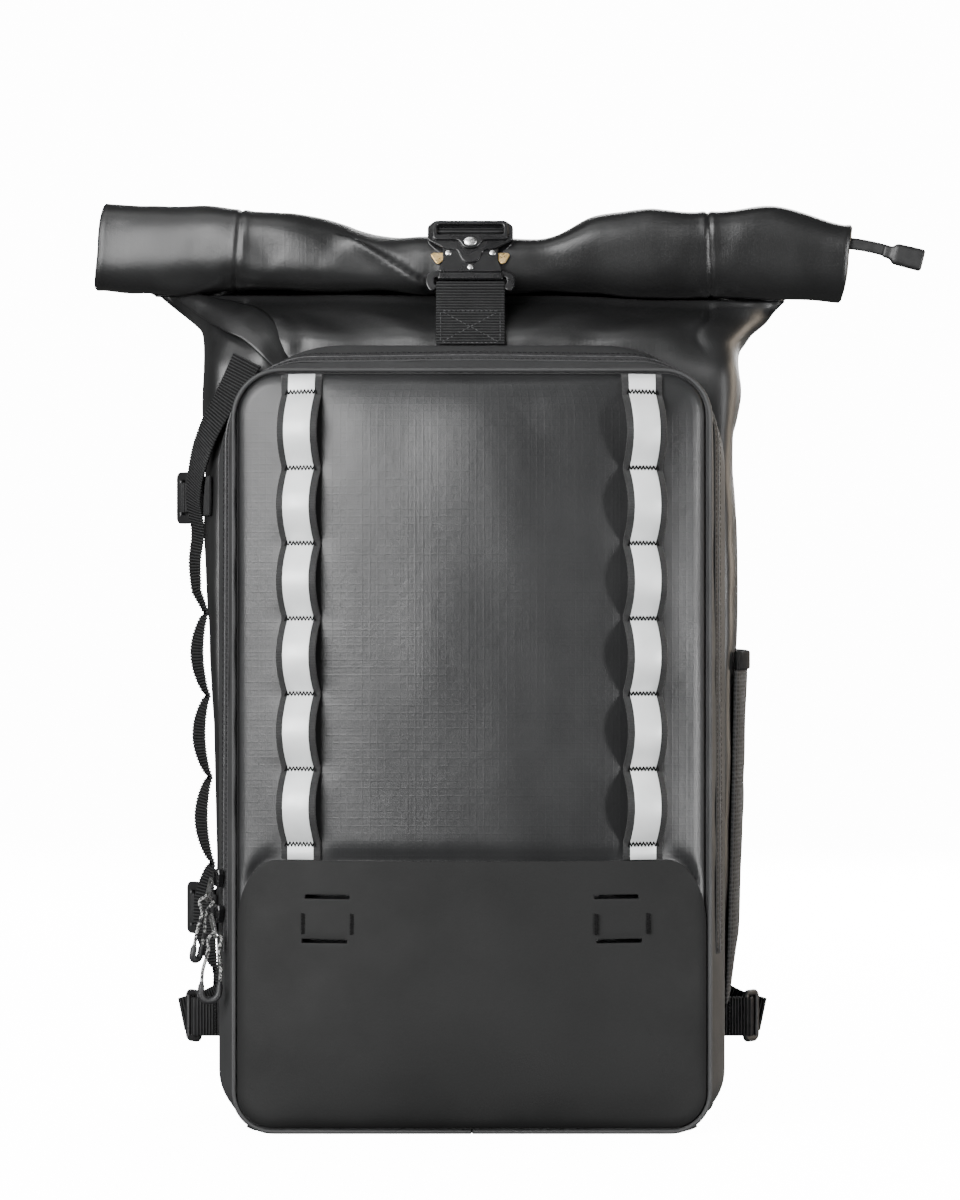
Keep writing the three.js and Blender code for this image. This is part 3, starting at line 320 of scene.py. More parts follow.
class Pile:
    """Points, faces and flat coordinates that become one mesh."""

    def __init__(self):
        self.points, self.faces, self.flats, self.facets, self.count = [], [], [], [], 0

    def _keep(self, points):
        self.points.append(np.asarray(points, float).reshape(-1, 3))
        first = self.count
        self.count += len(self.points[-1])
        return first

    def _quads(self, index, flat, flip):
        corner = lambda grid: [grid[:-1, :-1], grid[:-1, 1:], grid[1:, 1:], grid[1:, :-1]]
        faces = np.stack(corner(index), axis=-1).reshape(-1, 4)
        flats = np.stack(corner(flat), axis=2).reshape(-1, 4, 2)
        way = -1 if flip else 1
        self.faces.extend(faces[:, ::way].tolist())
        self.flats.append(flats[:, ::way].reshape(-1, 2))

    def _layer(self, points, wrap=False, flip=False, flat=None, caps=False):
        rows, columns = points.shape[:2]
        index = self._keep(points) + np.arange(rows * columns).reshape(rows, columns)
        flat = flat_of(points, wrap) if flat is None else flat
        self._quads(closed(index) if wrap else index, flat, flip)
        for row in (0, -1) if caps else ():
            way = -1 if flip == bool(row) else 1
            self.faces.append(index[row][::way].tolist())
            self.flats.append(flat[row, :columns][::way])
        return index

    def grid(self, points, **how):
        """One layer of quads over rows and columns of points."""
        self._layer(points, **how)
        return self

    def sheet(self, points, thick, wrap=False, inner=None, round_edge=0.4, flat=None):
        """A sheet with thickness behind its face, and rounded rims."""
        flat = flat_of(points, wrap) if flat is None else flat
        if inner is None:
            inner = points - grid_normals(points, wrap) * thick
        front = self._layer(points, wrap, flat=flat)
        back = self._layer(inner, wrap, flip=True, flat=flat)
        rows, columns = points.shape[:2]
        if wrap:
            i = np.arange(columns)
            rims = [((0 * i, i), (0 * i + 1, i)), ((0 * i - 1, i[::-1]), (0 * i - 2, i[::-1]))]
        else:
            ring = [(0, i) for i in range(columns - 1)] + [(j, columns - 1) for j in range(rows - 1)]
            ring += [(rows - 1, i) for i in range(columns - 1, 0, -1)]
            ring += [(j, 0) for j in range(rows - 1, 0, -1)]
            j, i = np.array(ring).T
            rims = [((j, i), (np.clip(j, 1, rows - 2), np.clip(i, 1, columns - 2)))]
        for edge, beside in rims:
            away = unit(points[edge] - points[beside]) * thick * round_edge
            first = self._keep((points[edge] + inner[edge]) / 2 + away)
            index = np.stack([front[edge], first + np.arange(len(away)), back[edge]])
            self._quads(closed(index), closed(np.stack([flat[edge]] * 3)), True)
        return self

    def tube(self, line, radius, sides=8):
        """A round bar along a line; radius is one number or one for each point."""
        line = np.asarray(line, float)
        along = unit(np.gradient(line, axis=0))
        across = np.zeros_like(line)
        hint = UP if abs(along[0, 2]) < 0.9 else RIGHT
        for k, way in enumerate(along):
            hint = unit(hint - way * (hint @ way))
            across[k] = hint
        other = np.cross(along, across)
        angle = np.arange(sides) * 2 * math.pi / sides
        size = np.broadcast_to(np.asarray(radius, float), (len(line),))[:, None, None]
        c, s = np.cos(angle)[:, None], np.sin(angle)[:, None]
        ring = c * across[:, None] + s * other[:, None]
        return self.grid(line[:, None] + size * ring, wrap=True, caps=True)

    def ribbon(self, stations, width, thick, lift=0.0, ribs=None):
        """A strap with rounded edges; stations give its line, its across and its outward directions."""
        line, across, out = stations
        pitch, depth = ribs or (1.0, 0.0)
        if ribs:
            along = lengths_along(line)
            at = np.linspace(0, along[-1], int(5 * along[-1] / pitch))
            line, across, out = (interp_rows(at, along, rows) for rows in stations)
            across, out = unit(across), unit(out)
        r = thick / 2
        flats = (-0.34, 0.0, 0.34)
        side = [(1, r * math.cos(a) - r, r + r * math.sin(a)) for a in np.radians(np.linspace(-90, 90, 5))]
        rows = [(f, 0.0, 0.0) for f in flats] + side + [(f, 0.0, thick) for f in flats[::-1]]
        rows += [(-1, -drawn, height) for _, drawn, height in side[::-1]]
        share, drawn, height = np.array(rows).T
        a = share * width / 2 + drawn
        along = lengths_along(line)[:, None]
        tall = height + lift + depth * np.sin(2 * math.pi * along / pitch) * (height / r - 1)
        points = line[:, None] + a[:, None] * across[:, None] + tall[..., None] * out[:, None]
        flat = np.stack(np.broadcast_arrays(np.append(a, a[0]), along), axis=-1)
        return self.grid(points, wrap=True, flat=flat, caps=True)

    def plate(self, outlines, low, high, bevel, place):
        """A plate with rounded edges: the first outline is its rim, any others are holes."""
        arc = np.radians(np.linspace(0, 90, 6))
        steps = [(bevel * (1 - math.sin(a)), low + bevel * (1 - math.cos(a))) for a in arc]
        steps += [(by, low + high - h) for by, h in steps[::-1]]
        rims, ends = [], []
        for k, line in enumerate(outlines):
            x, y = np.asarray(line, float).T
            turns_left = np.sum(x * np.roll(y, -1) - np.roll(x, -1) * y) > 0
            line = np.column_stack([x, y])[:: 1 if turns_left == (k == 0) else -1]
            rings = np.stack([np.column_stack([inset(line, by), np.full(len(line), h)]) for by, h in steps])
            rims.append(self._layer(place(rings), wrap=True))
            ends.append(rings[0])
        flat = np.concatenate(ends)[:, :2]
        corners = tessellate_polygon([[Vector(p) for p in end] for end in ends])
        for row, way in ((0, -1), (-1, 1)):
            index = np.concatenate([rim[row] for rim in rims])
            for corner in corners:
                (ax, ay), (bx, by), (cx, cy) = flat[list(corner)]
                left = (bx - ax) * (cy - ay) - (by - ay) * (cx - ax) > 0
                corner = list(corner) if left == (way > 0) else list(corner)[::-1]
                self.facets.append(len(self.faces))
                self.faces.append(index[corner].tolist())
                self.flats.append(flat[corner])
        return self

    def dome(self, centre, wide, tall, high, place):
        """A rivet's head: a low round dome on a short rim."""
        profile = ((1, -0.6), (1, 0.35), (0.95, 0.58), (0.8, 0.8), (0.55, 0.93), (0.28, 0.985), (0.05, 1))
        angle = np.arange(32) * 2 * math.pi / 32
        ring = np.column_stack([wide * np.cos(angle), tall * np.sin(angle), 0 * angle])
        rings = np.stack([np.array(centre) + ring * r + UP * high * h for r, h in profile])
        return self.grid(place(rings), wrap=True, caps=True)

    def stitches(self, line, normals, pitch, length, radius):
        """A run of thread stitches along a line, each a small raised bead."""
        along = lengths_along(line)
        for s in np.arange(pitch / 2, along[-1] - length, pitch):
            rise = np.outer((-0.1, 0.25, -0.1), interp_rows(s, along, normals))
            bead = interp_rows(s + length * np.array([0, 0.5, 1]), along, line) + rise
            self.tube(bead, radius * np.array([0.7, 1, 0.7]), sides=5)
        return self

    def zigzag(self, place, across, along, out, width, height, turns, radius):
        """A bar tack: thread laid to and fro across a strap."""
        count = turns * 2 + 1
        swing = np.where(np.arange(count) % 2 == 0, -0.5, 0.5) * height
        steps = np.linspace(-0.5, 0.5, count) * width
        line = place + np.outer(steps, across) + np.outer(swing, along) + out * 0.15
        fine = [np.linspace(a, b, 3, endpoint=False) for a, b in zip(line, line[1:])]
        return self.tube(np.concatenate(fine + [line[-1:]]), radius, sides=5)

    def piece(self, name, finish, slot, body="bag", replaces=()):
        """The gathered mesh as an object that rides on a body."""
        mesh = bpy.data.meshes.new(name)
        mesh.from_pydata((np.concatenate(self.points) * MM).tolist(), [], self.faces)
        layer = mesh.uv_layers.new(name="flat")
        layer.data.foreach_set("uv", np.concatenate(self.flats).astype(np.float32).ravel())
        smooth = np.full(len(mesh.polygons), True)
        smooth[self.facets] = False
        mesh.polygons.foreach_set("use_smooth", smooth)
        mesh.materials.append(finish)
        mesh.update()
        made = new_object(name, mesh)
        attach(made, body)
        if replaces:
            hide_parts(*replaces)
        return made


def ease_edges(made, name, width, segments, angle):
    """Rounds every edge that is sharper than an angle."""
    bevel = made.modifiers.new(name, "BEVEL")
    bevel.width, bevel.segments, bevel.limit_method = width * MM, segments, "ANGLE"
    bevel.angle_limit = math.radians(angle)
    bevel.use_clamp_overlap = True


def stations_on(line, across, out_hint):
    """Stations of a strap lying flat: out is square to the line and to across."""
    line = np.asarray(line, float)
    along = unit(np.gradient(line, axis=0))
    across = np.broadcast_to(np.asarray(across, float), line.shape)
    across = unit(across - along * np.sum(across * along, axis=1, keepdims=True))
    out = unit(np.cross(along, across))
    hint = np.broadcast_to(np.asarray(out_hint, float), line.shape)
    turned = np.sum(out * hint, axis=1, keepdims=True) < 0
    return line, np.where(turned, -across, across), np.where(turned, -out, out)


# Materials

class Finish:
    """A material built up from procedural patterns."""

    def __init__(self, name, colour, rough, **sockets):
        self.material = bpy.data.materials.new(name)
        self.material.use_nodes = True
        self.tree = self.material.node_tree
        self.shader = self.tree.nodes["Principled BSDF"]
        self.shader.inputs["Base Color"].default_value = (*colour, 1.0)
        self.shader.inputs["Roughness"].default_value = rough
        for key, value in sockets.items():
            self.shader.inputs[key.replace("_", " ")].default_value = value
        self.height = None

    def node(self, kind, inputs=None, **settings):
        made = self.tree.nodes.new(f"ShaderNode{kind}")
        for key, value in settings.items():
            setattr(made, key, value)
        for key, value in (inputs or {}).items():
            if isinstance(value, bpy.types.NodeSocket):
                self.tree.links.new(value, made.inputs[key])
            else:
                made.inputs[key].default_value = value
        return made

    def math(self, operation, *values):
        return self.node("Math", dict(enumerate(values)), operation=operation).outputs[0]

    def noise(self, wavelength, detail=2.0, stretch=(1, 1, 1)):
        """Cloudy noise of a wavelength in millimetres, from 0 to 1."""
        place = self.node("TexCoord").outputs["Object"]
        if stretch != (1, 1, 1):
            place = self.node("Mapping", {"Vector": place, "Scale": stretch}).outputs[0]
        inputs = {"Vector": place, "Scale": 1 / (wavelength * MM), "Detail": detail}
        return self.node("TexNoise", inputs).outputs[0]

    def flat(self):
        """Across and along the sheet or strap, in millimetres."""
        split = self.node("SeparateXYZ", {0: self.node("UVMap", uv_map="flat").outputs[0]})
        return split.outputs[0], split.outputs[1]

    def wave(self, along, pitch):
        turned = self.math("SINE", self.math("MULTIPLY", along, 2 * math.pi / pitch))
        return self.math("MULTIPLY_ADD", turned, 0.5, 0.5)

    def cells(self, pitch):
        """Cells across the sheet, from 0 at the middle of each."""
        u, v = self.flat()
        place = self.node("CombineXYZ", {0: u, 1: v}).outputs[0]
        inputs = {"Vector": place, "Scale": 1 / pitch, "Randomness": 0.25}
        return self.node("TexVoronoi", inputs, feature="F1").outputs["Distance"]

    def between(self, share, low, high, sharp=(0.0, 1.0)):
        inputs = {0: share, 1: sharp[0], 2: sharp[1], 3: low, 4: high}
        return self.node("MapRange", inputs).outputs[0]

    def colour(self, share, dark, light, sharp=(0.3, 0.7)):
        ramp = self.node("ValToRGB", {0: share})
        for stop, place, tone in zip(ramp.color_ramp.elements, sharp, (dark, light)):
            stop.position = place
            stop.color = (*tone, 1.0)
        self.tree.links.new(ramp.outputs[0], self.shader.inputs["Base Color"])
        return self

    def rough(self, share, low, high, sharp=(0.3, 0.7)):
        self.tree.links.new(self.between(share, low, high, sharp), self.shader.inputs["Roughness"])
        return self

    def raised(self, share, depth):
        """Adds relief of a depth in millimetres."""
        part = self.math("MULTIPLY", share, depth)
        self.height = part if self.height is None else self.math("ADD", self.height, part)
        return self

    def made(self):
        if self.height is not None:
            bump = self.node("Bump", {"Height": self.height, "Distance": MM, "Strength": 1.0})
            self.tree.links.new(bump.outputs[0], self.shader.inputs["Normal"])
        return self.material


def coated_fabric(name, dark, light, low, high, ripstop=0.05):
    """Black ripstop with a smooth coating: fine weave, a grid of thicker threads, soft cloudiness."""
    f = Finish(name, dark, low)
    u, v = f.flat()
    weave = f.math("MULTIPLY", f.wave(u, 0.8), f.wave(v, 0.8))
    threads = f.math("MAXIMUM", f.math("POWER", f.wave(u, 4.6), 14), f.math("POWER", f.wave(v, 4.6), 14))
    f.colour(f.noise(70, 3), dark, light)
    f.rough(f.noise(45, 3, (1, 1, 0.35)), low, high)
    f.raised(weave, 0.03).raised(threads, ripstop).raised(f.noise(9, 3), 0.16).raised(f.noise(2.2, 2), 0.03)
    f.raised(f.noise(7, 2, (1, 1, 0.05)), 0.05)
    return f.made()


def cloudy(name, colour, rough, tones, gloss, relief, **sockets):
    """A plain finish: colour, roughness and relief, each led by its noise's wavelength and detail."""
    f = Finish(name, colour, rough, **sockets)
    f.colour(f.noise(*tones[0]), *tones[1:])
    f.rough(f.noise(*gloss[0]), *gloss[1:])
    for noise, depth in relief:
        f.raised(f.noise(*noise), depth)
    return f.made()


def ribbed_webbing(name, pitch, depth, dark, light, **sockets):
    f = Finish(name, dark, 0.75, **sockets)
    u, v = f.flat()
    rib_and_painted_shade = f.wave(v, pitch)
    yarn = f.wave(f.math("ADD", u, f.math("MULTIPLY", v, 0.35)), 0.9)
    # Colour follows the ribs: grooves painted dark and crests painted light, which is painted shade and
    # highlight, mixed with a cloudy yarn tone
    f.colour(f.math("MULTIPLY", rib_and_painted_shade, f.between(f.noise(2.5, 2), 0.6, 1.0)), dark, light, (0.1, 0.8))
    f.rough(f.noise(12), 0.62, 0.82)
    f.raised(rib_and_painted_shade, depth).raised(yarn, 0.08).raised(f.noise(1.2, 2), 0.05)
    return f.made()


def reflective_tape():
    f = Finish("reflective_tape", (0.66, 0.68, 0.68), 0.42, Metallic=0.15)
    u, v = f.flat()
    f.colour(f.noise(22, 4), (0.72, 0.74, 0.745), (0.84, 0.855, 0.855))
    f.rough(f.noise(8), 0.36, 0.52)
    f.raised(f.math("MULTIPLY", f.wave(u, 0.7), f.wave(v, 0.7)), 0.02).raised(f.noise(6, 2), 0.05)
    return f.made()


def zip_tape():
    f = Finish("zip_tape", (0.02, 0.02, 0.021), 0.65)
    u, v = f.flat()
    f.colour(f.wave(v, 1.4), (0.018, 0.018, 0.019), (0.028, 0.028, 0.029))
    f.raised(f.math("MULTIPLY", f.wave(u, 0.8), f.wave(v, 0.8)), 0.08).raised(f.noise(3), 0.05)
    return f.made()


def zip_coil():
    f = Finish("zip_coil", (0.03, 0.03, 0.032), 0.4)
    f.colour(f.noise(3), (0.018, 0.018, 0.019), (0.05, 0.05, 0.052))
    return f.made()


def open_mesh(name, rough, pitch, tones, depth, fuzz, **sockets):
    """Cloth full of small round holes, their middles painted dark: partly the dark cloth behind, partly
    painted shade.
    """
    f = Finish(name, (0.012, 0.012, 0.013), rough, **sockets)
    holes = f.cells(pitch)
    f.colour(holes, *tones)
    f.raised(holes, depth).raised(f.noise(fuzz[0]), fuzz[1])
    return f.made()


def bare_metal(name, dark, light, low, high):
    f = Finish(name, light, low, Metallic=1.0)
    f.colour(f.noise(2.5, 4), dark, light)
    f.rough(f.noise(1.4, 3, (1, 6, 1)), low, high)
    f.raised(f.noise(0.5, 2, (1, 8, 1)), 0.01)
    return f.made()


def fleck_cord():
    f = Finish("fleck_cord", (0.01, 0.01, 0.011), 0.8, Sheen_Weight=0.2)
    u, v = f.flat()
    lay = f.math("MULTIPLY", u, 2.0)
    one = f.wave(f.math("ADD", lay, v), 2.1)
    two = f.wave(f.math("SUBTRACT", lay, v), 2.1)
    plait = f.math("MAXIMUM", one, two)
    fleck = f.math("MULTIPLY", plait, f.noise(1.8, 1))
    f.colour(fleck, (0.006, 0.006, 0.007), (0.66, 0.66, 0.64), (0.44, 0.5))
    f.raised(plait, 0.25)
    return f.made()


def thread(name, dark, light):
    f = Finish(name, dark, 0.8, Specular_IOR_Level=0.15)
    f.colour(f.noise(1.2), dark, light)
    f.raised(f.noise(0.4), 0.05)
    return f.made()


def pale_paper():
    glow = {"Emission_Color": (1.0, 1.0, 1.0, 1.0), "Emission_Strength": STAGE["glow"]}
    return Finish("pale_paper", (0.9, 0.9, 0.9), 0.9, **glow).made()


# Camera, lights and stage

STAGE = {"floor": 9.0, "bend": 2.0, "high": 9.0, "sides": 64, "glow": 14.0}
LIGHTS = (
    # name, place, aim, width, height, watts, colour
    ("key", (-1.0, -2.0, 1.0), (-0.05, 0, 0.33), 1.2, 1.5, 92, (1.0, 1.0, 1.0)),
    ("edge", (-1.7, -1.35, 0.6), (-0.1, 0, 0.3), 0.22, 1.5, 26, (1.0, 1.0, 1.0)),
    ("strip", (1.7, -1.35, 0.1), (0.1, 0, 0.16), 0.2, 1.1, 40, (1.0, 1.0, 1.0)),
    ("top", (-0.5, -0.6, 1.9), (0, 0, 0.5), 1.2, 0.7, 8, (1.0, 1.0, 1.0)),
    ("side", (1.7, 0.7, 0.7), (0.15, 0, 0.35), 0.7, 1.2, 20, (1.0, 0.86, 0.7)),
    ("rear", (0.7, 2.3, 1.3), (0, 0.1, 0.3), 1.6, 1.4, 90, (1.0, 1.0, 1.0)),
)
AMBIENT = 0.12


def add_camera():
    data = bpy.data.cameras.new("camera")
    data.sensor_width = 36
    data.lens = CAMERA["lens"]
    data.clip_end = 20
    camera = new_object("camera", data)
    camera.location = CAMERA["place"]
    camera.rotation_euler = (math.pi / 2, 0, 0)
    bpy.context.scene.camera = camera


def add_stage():
    """A round floor that sweeps up into a wall on every side."""
    floor, bend, sides = STAGE["floor"], STAGE["bend"], STAGE["sides"]
    profile = [(0.05, 0.0), (1.0, 0.0)]
    for angle in np.radians(np.linspace(0, 90, 13)):
        profile.append((floor + bend * math.sin(angle), bend * (1 - math.cos(angle))))
    profile.append((floor + bend, STAGE["high"]))
    turns = np.arange(sides) * 2 * math.pi / sides
    points = [(r * math.cos(a), r * math.sin(a), z) for r, z in profile for a in turns]
    faces = [list(range(sides))]
    for ring in range(len(profile) - 1):
        for k in range(sides):
            after = (k + 1) % sides
            low, high = ring * sides, (ring + 1) * sides
            faces.append((low + k, high + k, high + after, low + after))
    mesh = bpy.data.meshes.new("studio_sweep")
    mesh.from_pydata(points, [], faces)
    mesh.polygons.foreach_set("use_smooth", np.full(len(faces), True))
    mesh.materials.append(pale_paper())
    sweep = new_object("studio_sweep", mesh)
    sweep.visible_glossy = False
    sweep.visible_diffuse = False
    sweep.visible_shadow = False


def add_lights():
    for name, place, aim, width, height, watts, colour in LIGHTS:
        data = bpy.data.lights.new(name, "AREA")
        data.shape = "RECTANGLE"
        data.size, data.size_y = width, height
        data.energy = watts
        data.color = colour
        lamp = new_object(name, data)
        lamp.location = place
        lamp.rotation_euler = (Vector(aim) - Vector(place)).to_track_quat("-Z", "Y").to_euler()
        lamp.visible_camera = False
    world = bpy.data.worlds.new("studio")
    world.use_nodes = True
    world.node_tree.nodes["Background"].inputs[0].default_value = (1.0, 1.0, 1.0, 1.0)
    world.node_tree.nodes["Background"].inputs[1].default_value = AMBIENT
    bpy.context.scene.world = world


COATED = coated_fabric(
    "coated_fabric", (0.012, 0.0123, 0.0128), (0.02, 0.0204, 0.021), 0.31, 0.43, 0.022)
# Shell and roll: a darker copy of the coated fabric, its extra darkness painted shade for the throat and the
# roll
SHADED_BODY_COATED = coated_fabric(
    "shaded_body_fabric", (0.007, 0.0071, 0.0073), (0.012, 0.0122, 0.0124), 0.32, 0.48, 0.014)
# Pocket sides and welt: a lighter copy of the coated fabric, its lighter tone painted light
LIT_GUSSET_COATED = coated_fabric(
    "lit_gusset_fabric", (0.02, 0.0204, 0.021), (0.03, 0.0305, 0.031), 0.54, 0.68, 0.01)
RUBBERISED = cloudy(
    "rubberised_fabric", (0.012, 0.0122, 0.0122), 0.75,
    ((60, 4), (0.0072, 0.0074, 0.0074), (0.011, 0.0112, 0.0112)), ((30, 4), 0.68, 0.82),
    (((1.3, 3), 0.07), ((14, 2), 0.1)), Specular_IOR_Level=0.3)
# Both webbings carry painted groove shade and painted crest highlight in their colour
RIBBED = ribbed_webbing(
    "ribbed_webbing", RIBS[0], 0.1, (0.0008, 0.0008, 0.001), (0.024, 0.0243, 0.0248), Specular_IOR_Level=0.22)
LADDER_WEB = ribbed_webbing(
    "ladder_webbing", 0.9, 0.1, (0.004, 0.004, 0.0043), (0.0125, 0.0127, 0.013), Sheen_Weight=0.15)
REFLECTIVE = reflective_tape()
ZIP_TAPE = zip_tape()
ZIP_COIL = zip_coil()
MESH_CLOTH = open_mesh(
    "stretch_mesh", 0.8, 2.6, ((0.002, 0.002, 0.002), (0.03, 0.03, 0.031), (0.28, 0.46)), 0.5, (1.5, 0.05))
AIR_MESH = open_mesh(
    "air_mesh", 0.9, 3.4, ((0.004, 0.004, 0.004), (0.03, 0.031, 0.032), (0.2, 0.5)), 0.7, (1.0, 0.08),
    Sheen_Weight=0.2)
PLASTIC = cloudy(
    "black_plastic", (0.008, 0.008, 0.0085), 0.4, ((12, 4), (0.005, 0.005, 0.0055), (0.01, 0.01, 0.0105)),
    ((5, 3), 0.42, 0.58), (((0.9, 2), 0.03),))
BLACK_METAL = cloudy(
    "black_metal", (0.005, 0.005, 0.0055), 0.26, ((20, 2), (0.004, 0.004, 0.0045), (0.007, 0.007, 0.0075)),
    ((14, 2), 0.24, 0.32), (((9, 2), 0.006),), Coat_Weight=0.3, Coat_Roughness=0.1)
BRASS = bare_metal("brass", (0.55, 0.37, 0.15), (0.78, 0.56, 0.27), 0.24, 0.4)
STEEL = bare_metal("steel", (0.68, 0.68, 0.67), (0.86, 0.86, 0.85), 0.2, 0.34)
CORD = fleck_cord()
RUBBER = cloudy(
    "soft_rubber", (0.012, 0.012, 0.013), 0.5, ((8, 3), (0.009, 0.009, 0.01), (0.02, 0.02, 0.021)),
    ((4, 2), 0.42, 0.6), (((1.1, 2), 0.04),))
THREAD = thread("thread", (0.0012, 0.0012, 0.0012), (0.005, 0.005, 0.0053))
THREAD_LIGHT = thread("grey_thread", (0.03, 0.03, 0.031), (0.08, 0.08, 0.082))


# Zip pulls: cord loops through the tabs' eyes, each with a moulded grip

PULLS = (
    # name, height, tilt of the tab, drop of the loop, half its spread, how far it hangs clear, its turn
    ("upper", 156, -34, 30, 3.2, 6, 68),
    ("lower", 134, 35, 30, 5.6, 3, 104),
)
TAB = {"length": 15, "eye": 2.6, "hinge": 1.4, "clear": 7}
CORD_RADIUS = 1.1
GRIP = {"radius": 2.1, "ridge": 0.12, "below": 5}


def zip_frame(z):
    """A point of the zip on the left gusset, the way forward along the gusset and the way out of it."""
    face, heel, middle = face_half(z) + 0.5, HEEL["half"], (ZIP["from"] + ZIP["to"]) / 2
    depth = HEEL["y"] - GUSSET_FRONT
    x = -(lerp(face, heel, middle) + GUSSET_SWELL + 1.5)
    point = np.array([x, GUSSET_FRONT + depth * middle - 0.6 * GUSSET_SWELL, z])
    return point, unit(np.array([heel - face, -depth, 0])), unit(np.array([-depth, face - heel, 0]))


def add_zip_pulls():
    for name, z, tilt, drop, spread, away, turned in PULLS:
        point, forward, out = zip_frame(z)
        hang, tilt, turned = TAB["length"] - TAB["eye"], math.radians(tilt), math.radians(turned)
        sway, eye = hang * math.sin(tilt), -TAB["hinge"] - hang * math.cos(tilt)
        low, bend = eye - drop, 4 * CORD_RADIUS

        def at(x, y, lift=0):
            clear = x * math.sin(turned) + (TAB["clear"] + lift + away * (eye - y) / drop)
            return point + forward * (sway + x * math.cos(turned)) + UP * y + out * clear

        turn = np.radians(np.linspace(180, 360, 9))
        bow = [at(spread * math.cos(a), low - GAP - GRIP["below"] + spread * math.sin(a)) for a in turn]
        down = [at(0, eye + CORD_RADIUS), at(0, eye - 2.5, -bend), at(-spread * 0.6, eye - 9)]
        down += [at(-spread, low + 8), at(-spread, low)]
        up = [at(spread, low), at(spread, low + 8), at(spread * 0.6, eye - 9)]
        up += [at(0, eye - 2.5, bend), at(0, eye + CORD_RADIUS)]
        route = spline(down + bow + up, 90)
        cord = Pile().tube(route, CORD_RADIUS, sides=12).piece(
            f"cord_loop_{name}", CORD, "cord", replaces=[f"pull_cord_{name}"])

        line = spline([at(-spread, low + 1)] + bow + [at(spread, low + 1)], 60)
        share = np.linspace(-1, 1, 60)
        ridges = GRIP["ridge"] * np.cos(share * 60) * (np.abs(share) < 0.9)
        size = GRIP["radius"] * np.clip(1 - share ** 14, 0.66, 1) + ridges
        grip = Pile().tube(line, size, sides=16).piece(
            f"cord_grip_{name}", RUBBER, "soft_rubber", replaces=[f"pull_grip_{name}"])
        length = float(lengths_along(route)[-1]) * MM


# Main compartment: one lofted shell from the base to the throat, and the roll that goes on from it

def body_row(z):
    table = np.array(BODY).T
    return {name: float(curve_through(table[0], column, z)) for name, column in zip(BODY_COLUMNS, table)}


def side_reach(row, y):
    middle, half = (row["front"] + row["back"]) / 2, (row["back"] - row["front"]) / 2
    part = np.minimum(np.abs(y - middle) / half, 1)
    return row["seam"] + (row["side"] - row["seam"]) * (1 - part ** row["boxy"]) ** (1 / row["boxy"])


def side_x(y, z):
    return float(side_reach(body_row(z), y))


def body_loop(z):
    """One level of the body, anticlockwise from the left front seam."""
    row = body_row(z)
    middle, half = (row["front"] + row["back"]) / 2, (row["back"] - row["front"]) / 2
    swing = np.sin(np.radians(np.linspace(-90, 90, 361)))
    y = middle + half * power(swing, 2 / row["boxy"])
    side = at_shares(np.stack([side_reach(row, y), y], axis=1), (1 + closer_at_ends(SIDE_CELLS)) / 2)
    across = row["seam"] * closer_at_ends(FRONT_CELLS)
    front = np.stack([across, np.full_like(across, row["front"])], axis=1)
    back = np.stack([-across, np.full_like(across, row["back"])], axis=1)
    left = side[::-1] * (-1, 1)
    loop = np.concatenate([front[:-1], side[:-1], back[:-1], left[:-1]])
    climb = row["rise"] * (loop[:, 1] - row["front"]) / (row["back"] - row["front"])
    return np.column_stack([loop, row["z"] + climb])


def loop_shares():
    """Where each column of the loop ends up along the mouth, from -1 to 1, and whether it is in front."""
    loop = body_loop(BODY_TOP)[:, :2]
    right = np.concatenate([loop[FRONT_CELLS:FRONT_CELLS + SIDE_CELLS], loop[FRONT_CELLS + SIDE_CELLS:][:1]])
    length, seam = lengths_along(right)[-1], loop[FRONT_CELLS, 0]
    total = seam + length / 2
    across = seam * closer_at_ends(FRONT_CELLS)[:-1] / total
    k = (1 + closer_at_ends(SIDE_CELLS)[:-1]) / 2
    ear = (seam + length * np.minimum(k, 1 - k)) / total
    shares = np.concatenate([across, ear, -across, -ear])
    front = np.concatenate([np.full(FRONT_CELLS, True), k < 0.5, np.full(FRONT_CELLS, False), k >= 0.5])
    return shares, front


def roll_point(x, angle):
    """A point of the roll's outer face; angle 0 is at the back, 90 on top and 180 in front."""
    keys, middles, halves = np.array(ROLL_STATIONS).T
    wound = np.interp(angle, *ROLL_WOUND)
    turn = np.radians(angle)
    y = ROLL["y"] + ROLL["swept"] * ease(128, 236, -x)
    y = y + ROLL["depth"] * wound * power(np.cos(turn), ROLL["boxy"])
    z = curve_through(keys, middles, x)
    z = z + curve_through(keys, halves, x) * wound * power(np.sin(turn), ROLL["boxy"])
    return np.stack([x + 0 * turn, y, z], axis=-1)


def roll_start(share):
    """The angle at which the back of the throat runs up into the roll."""
    return lerp(-4.0, -82.0, ease(0.62, 1.0, np.abs(share)))


THROAT_ROWS = 36
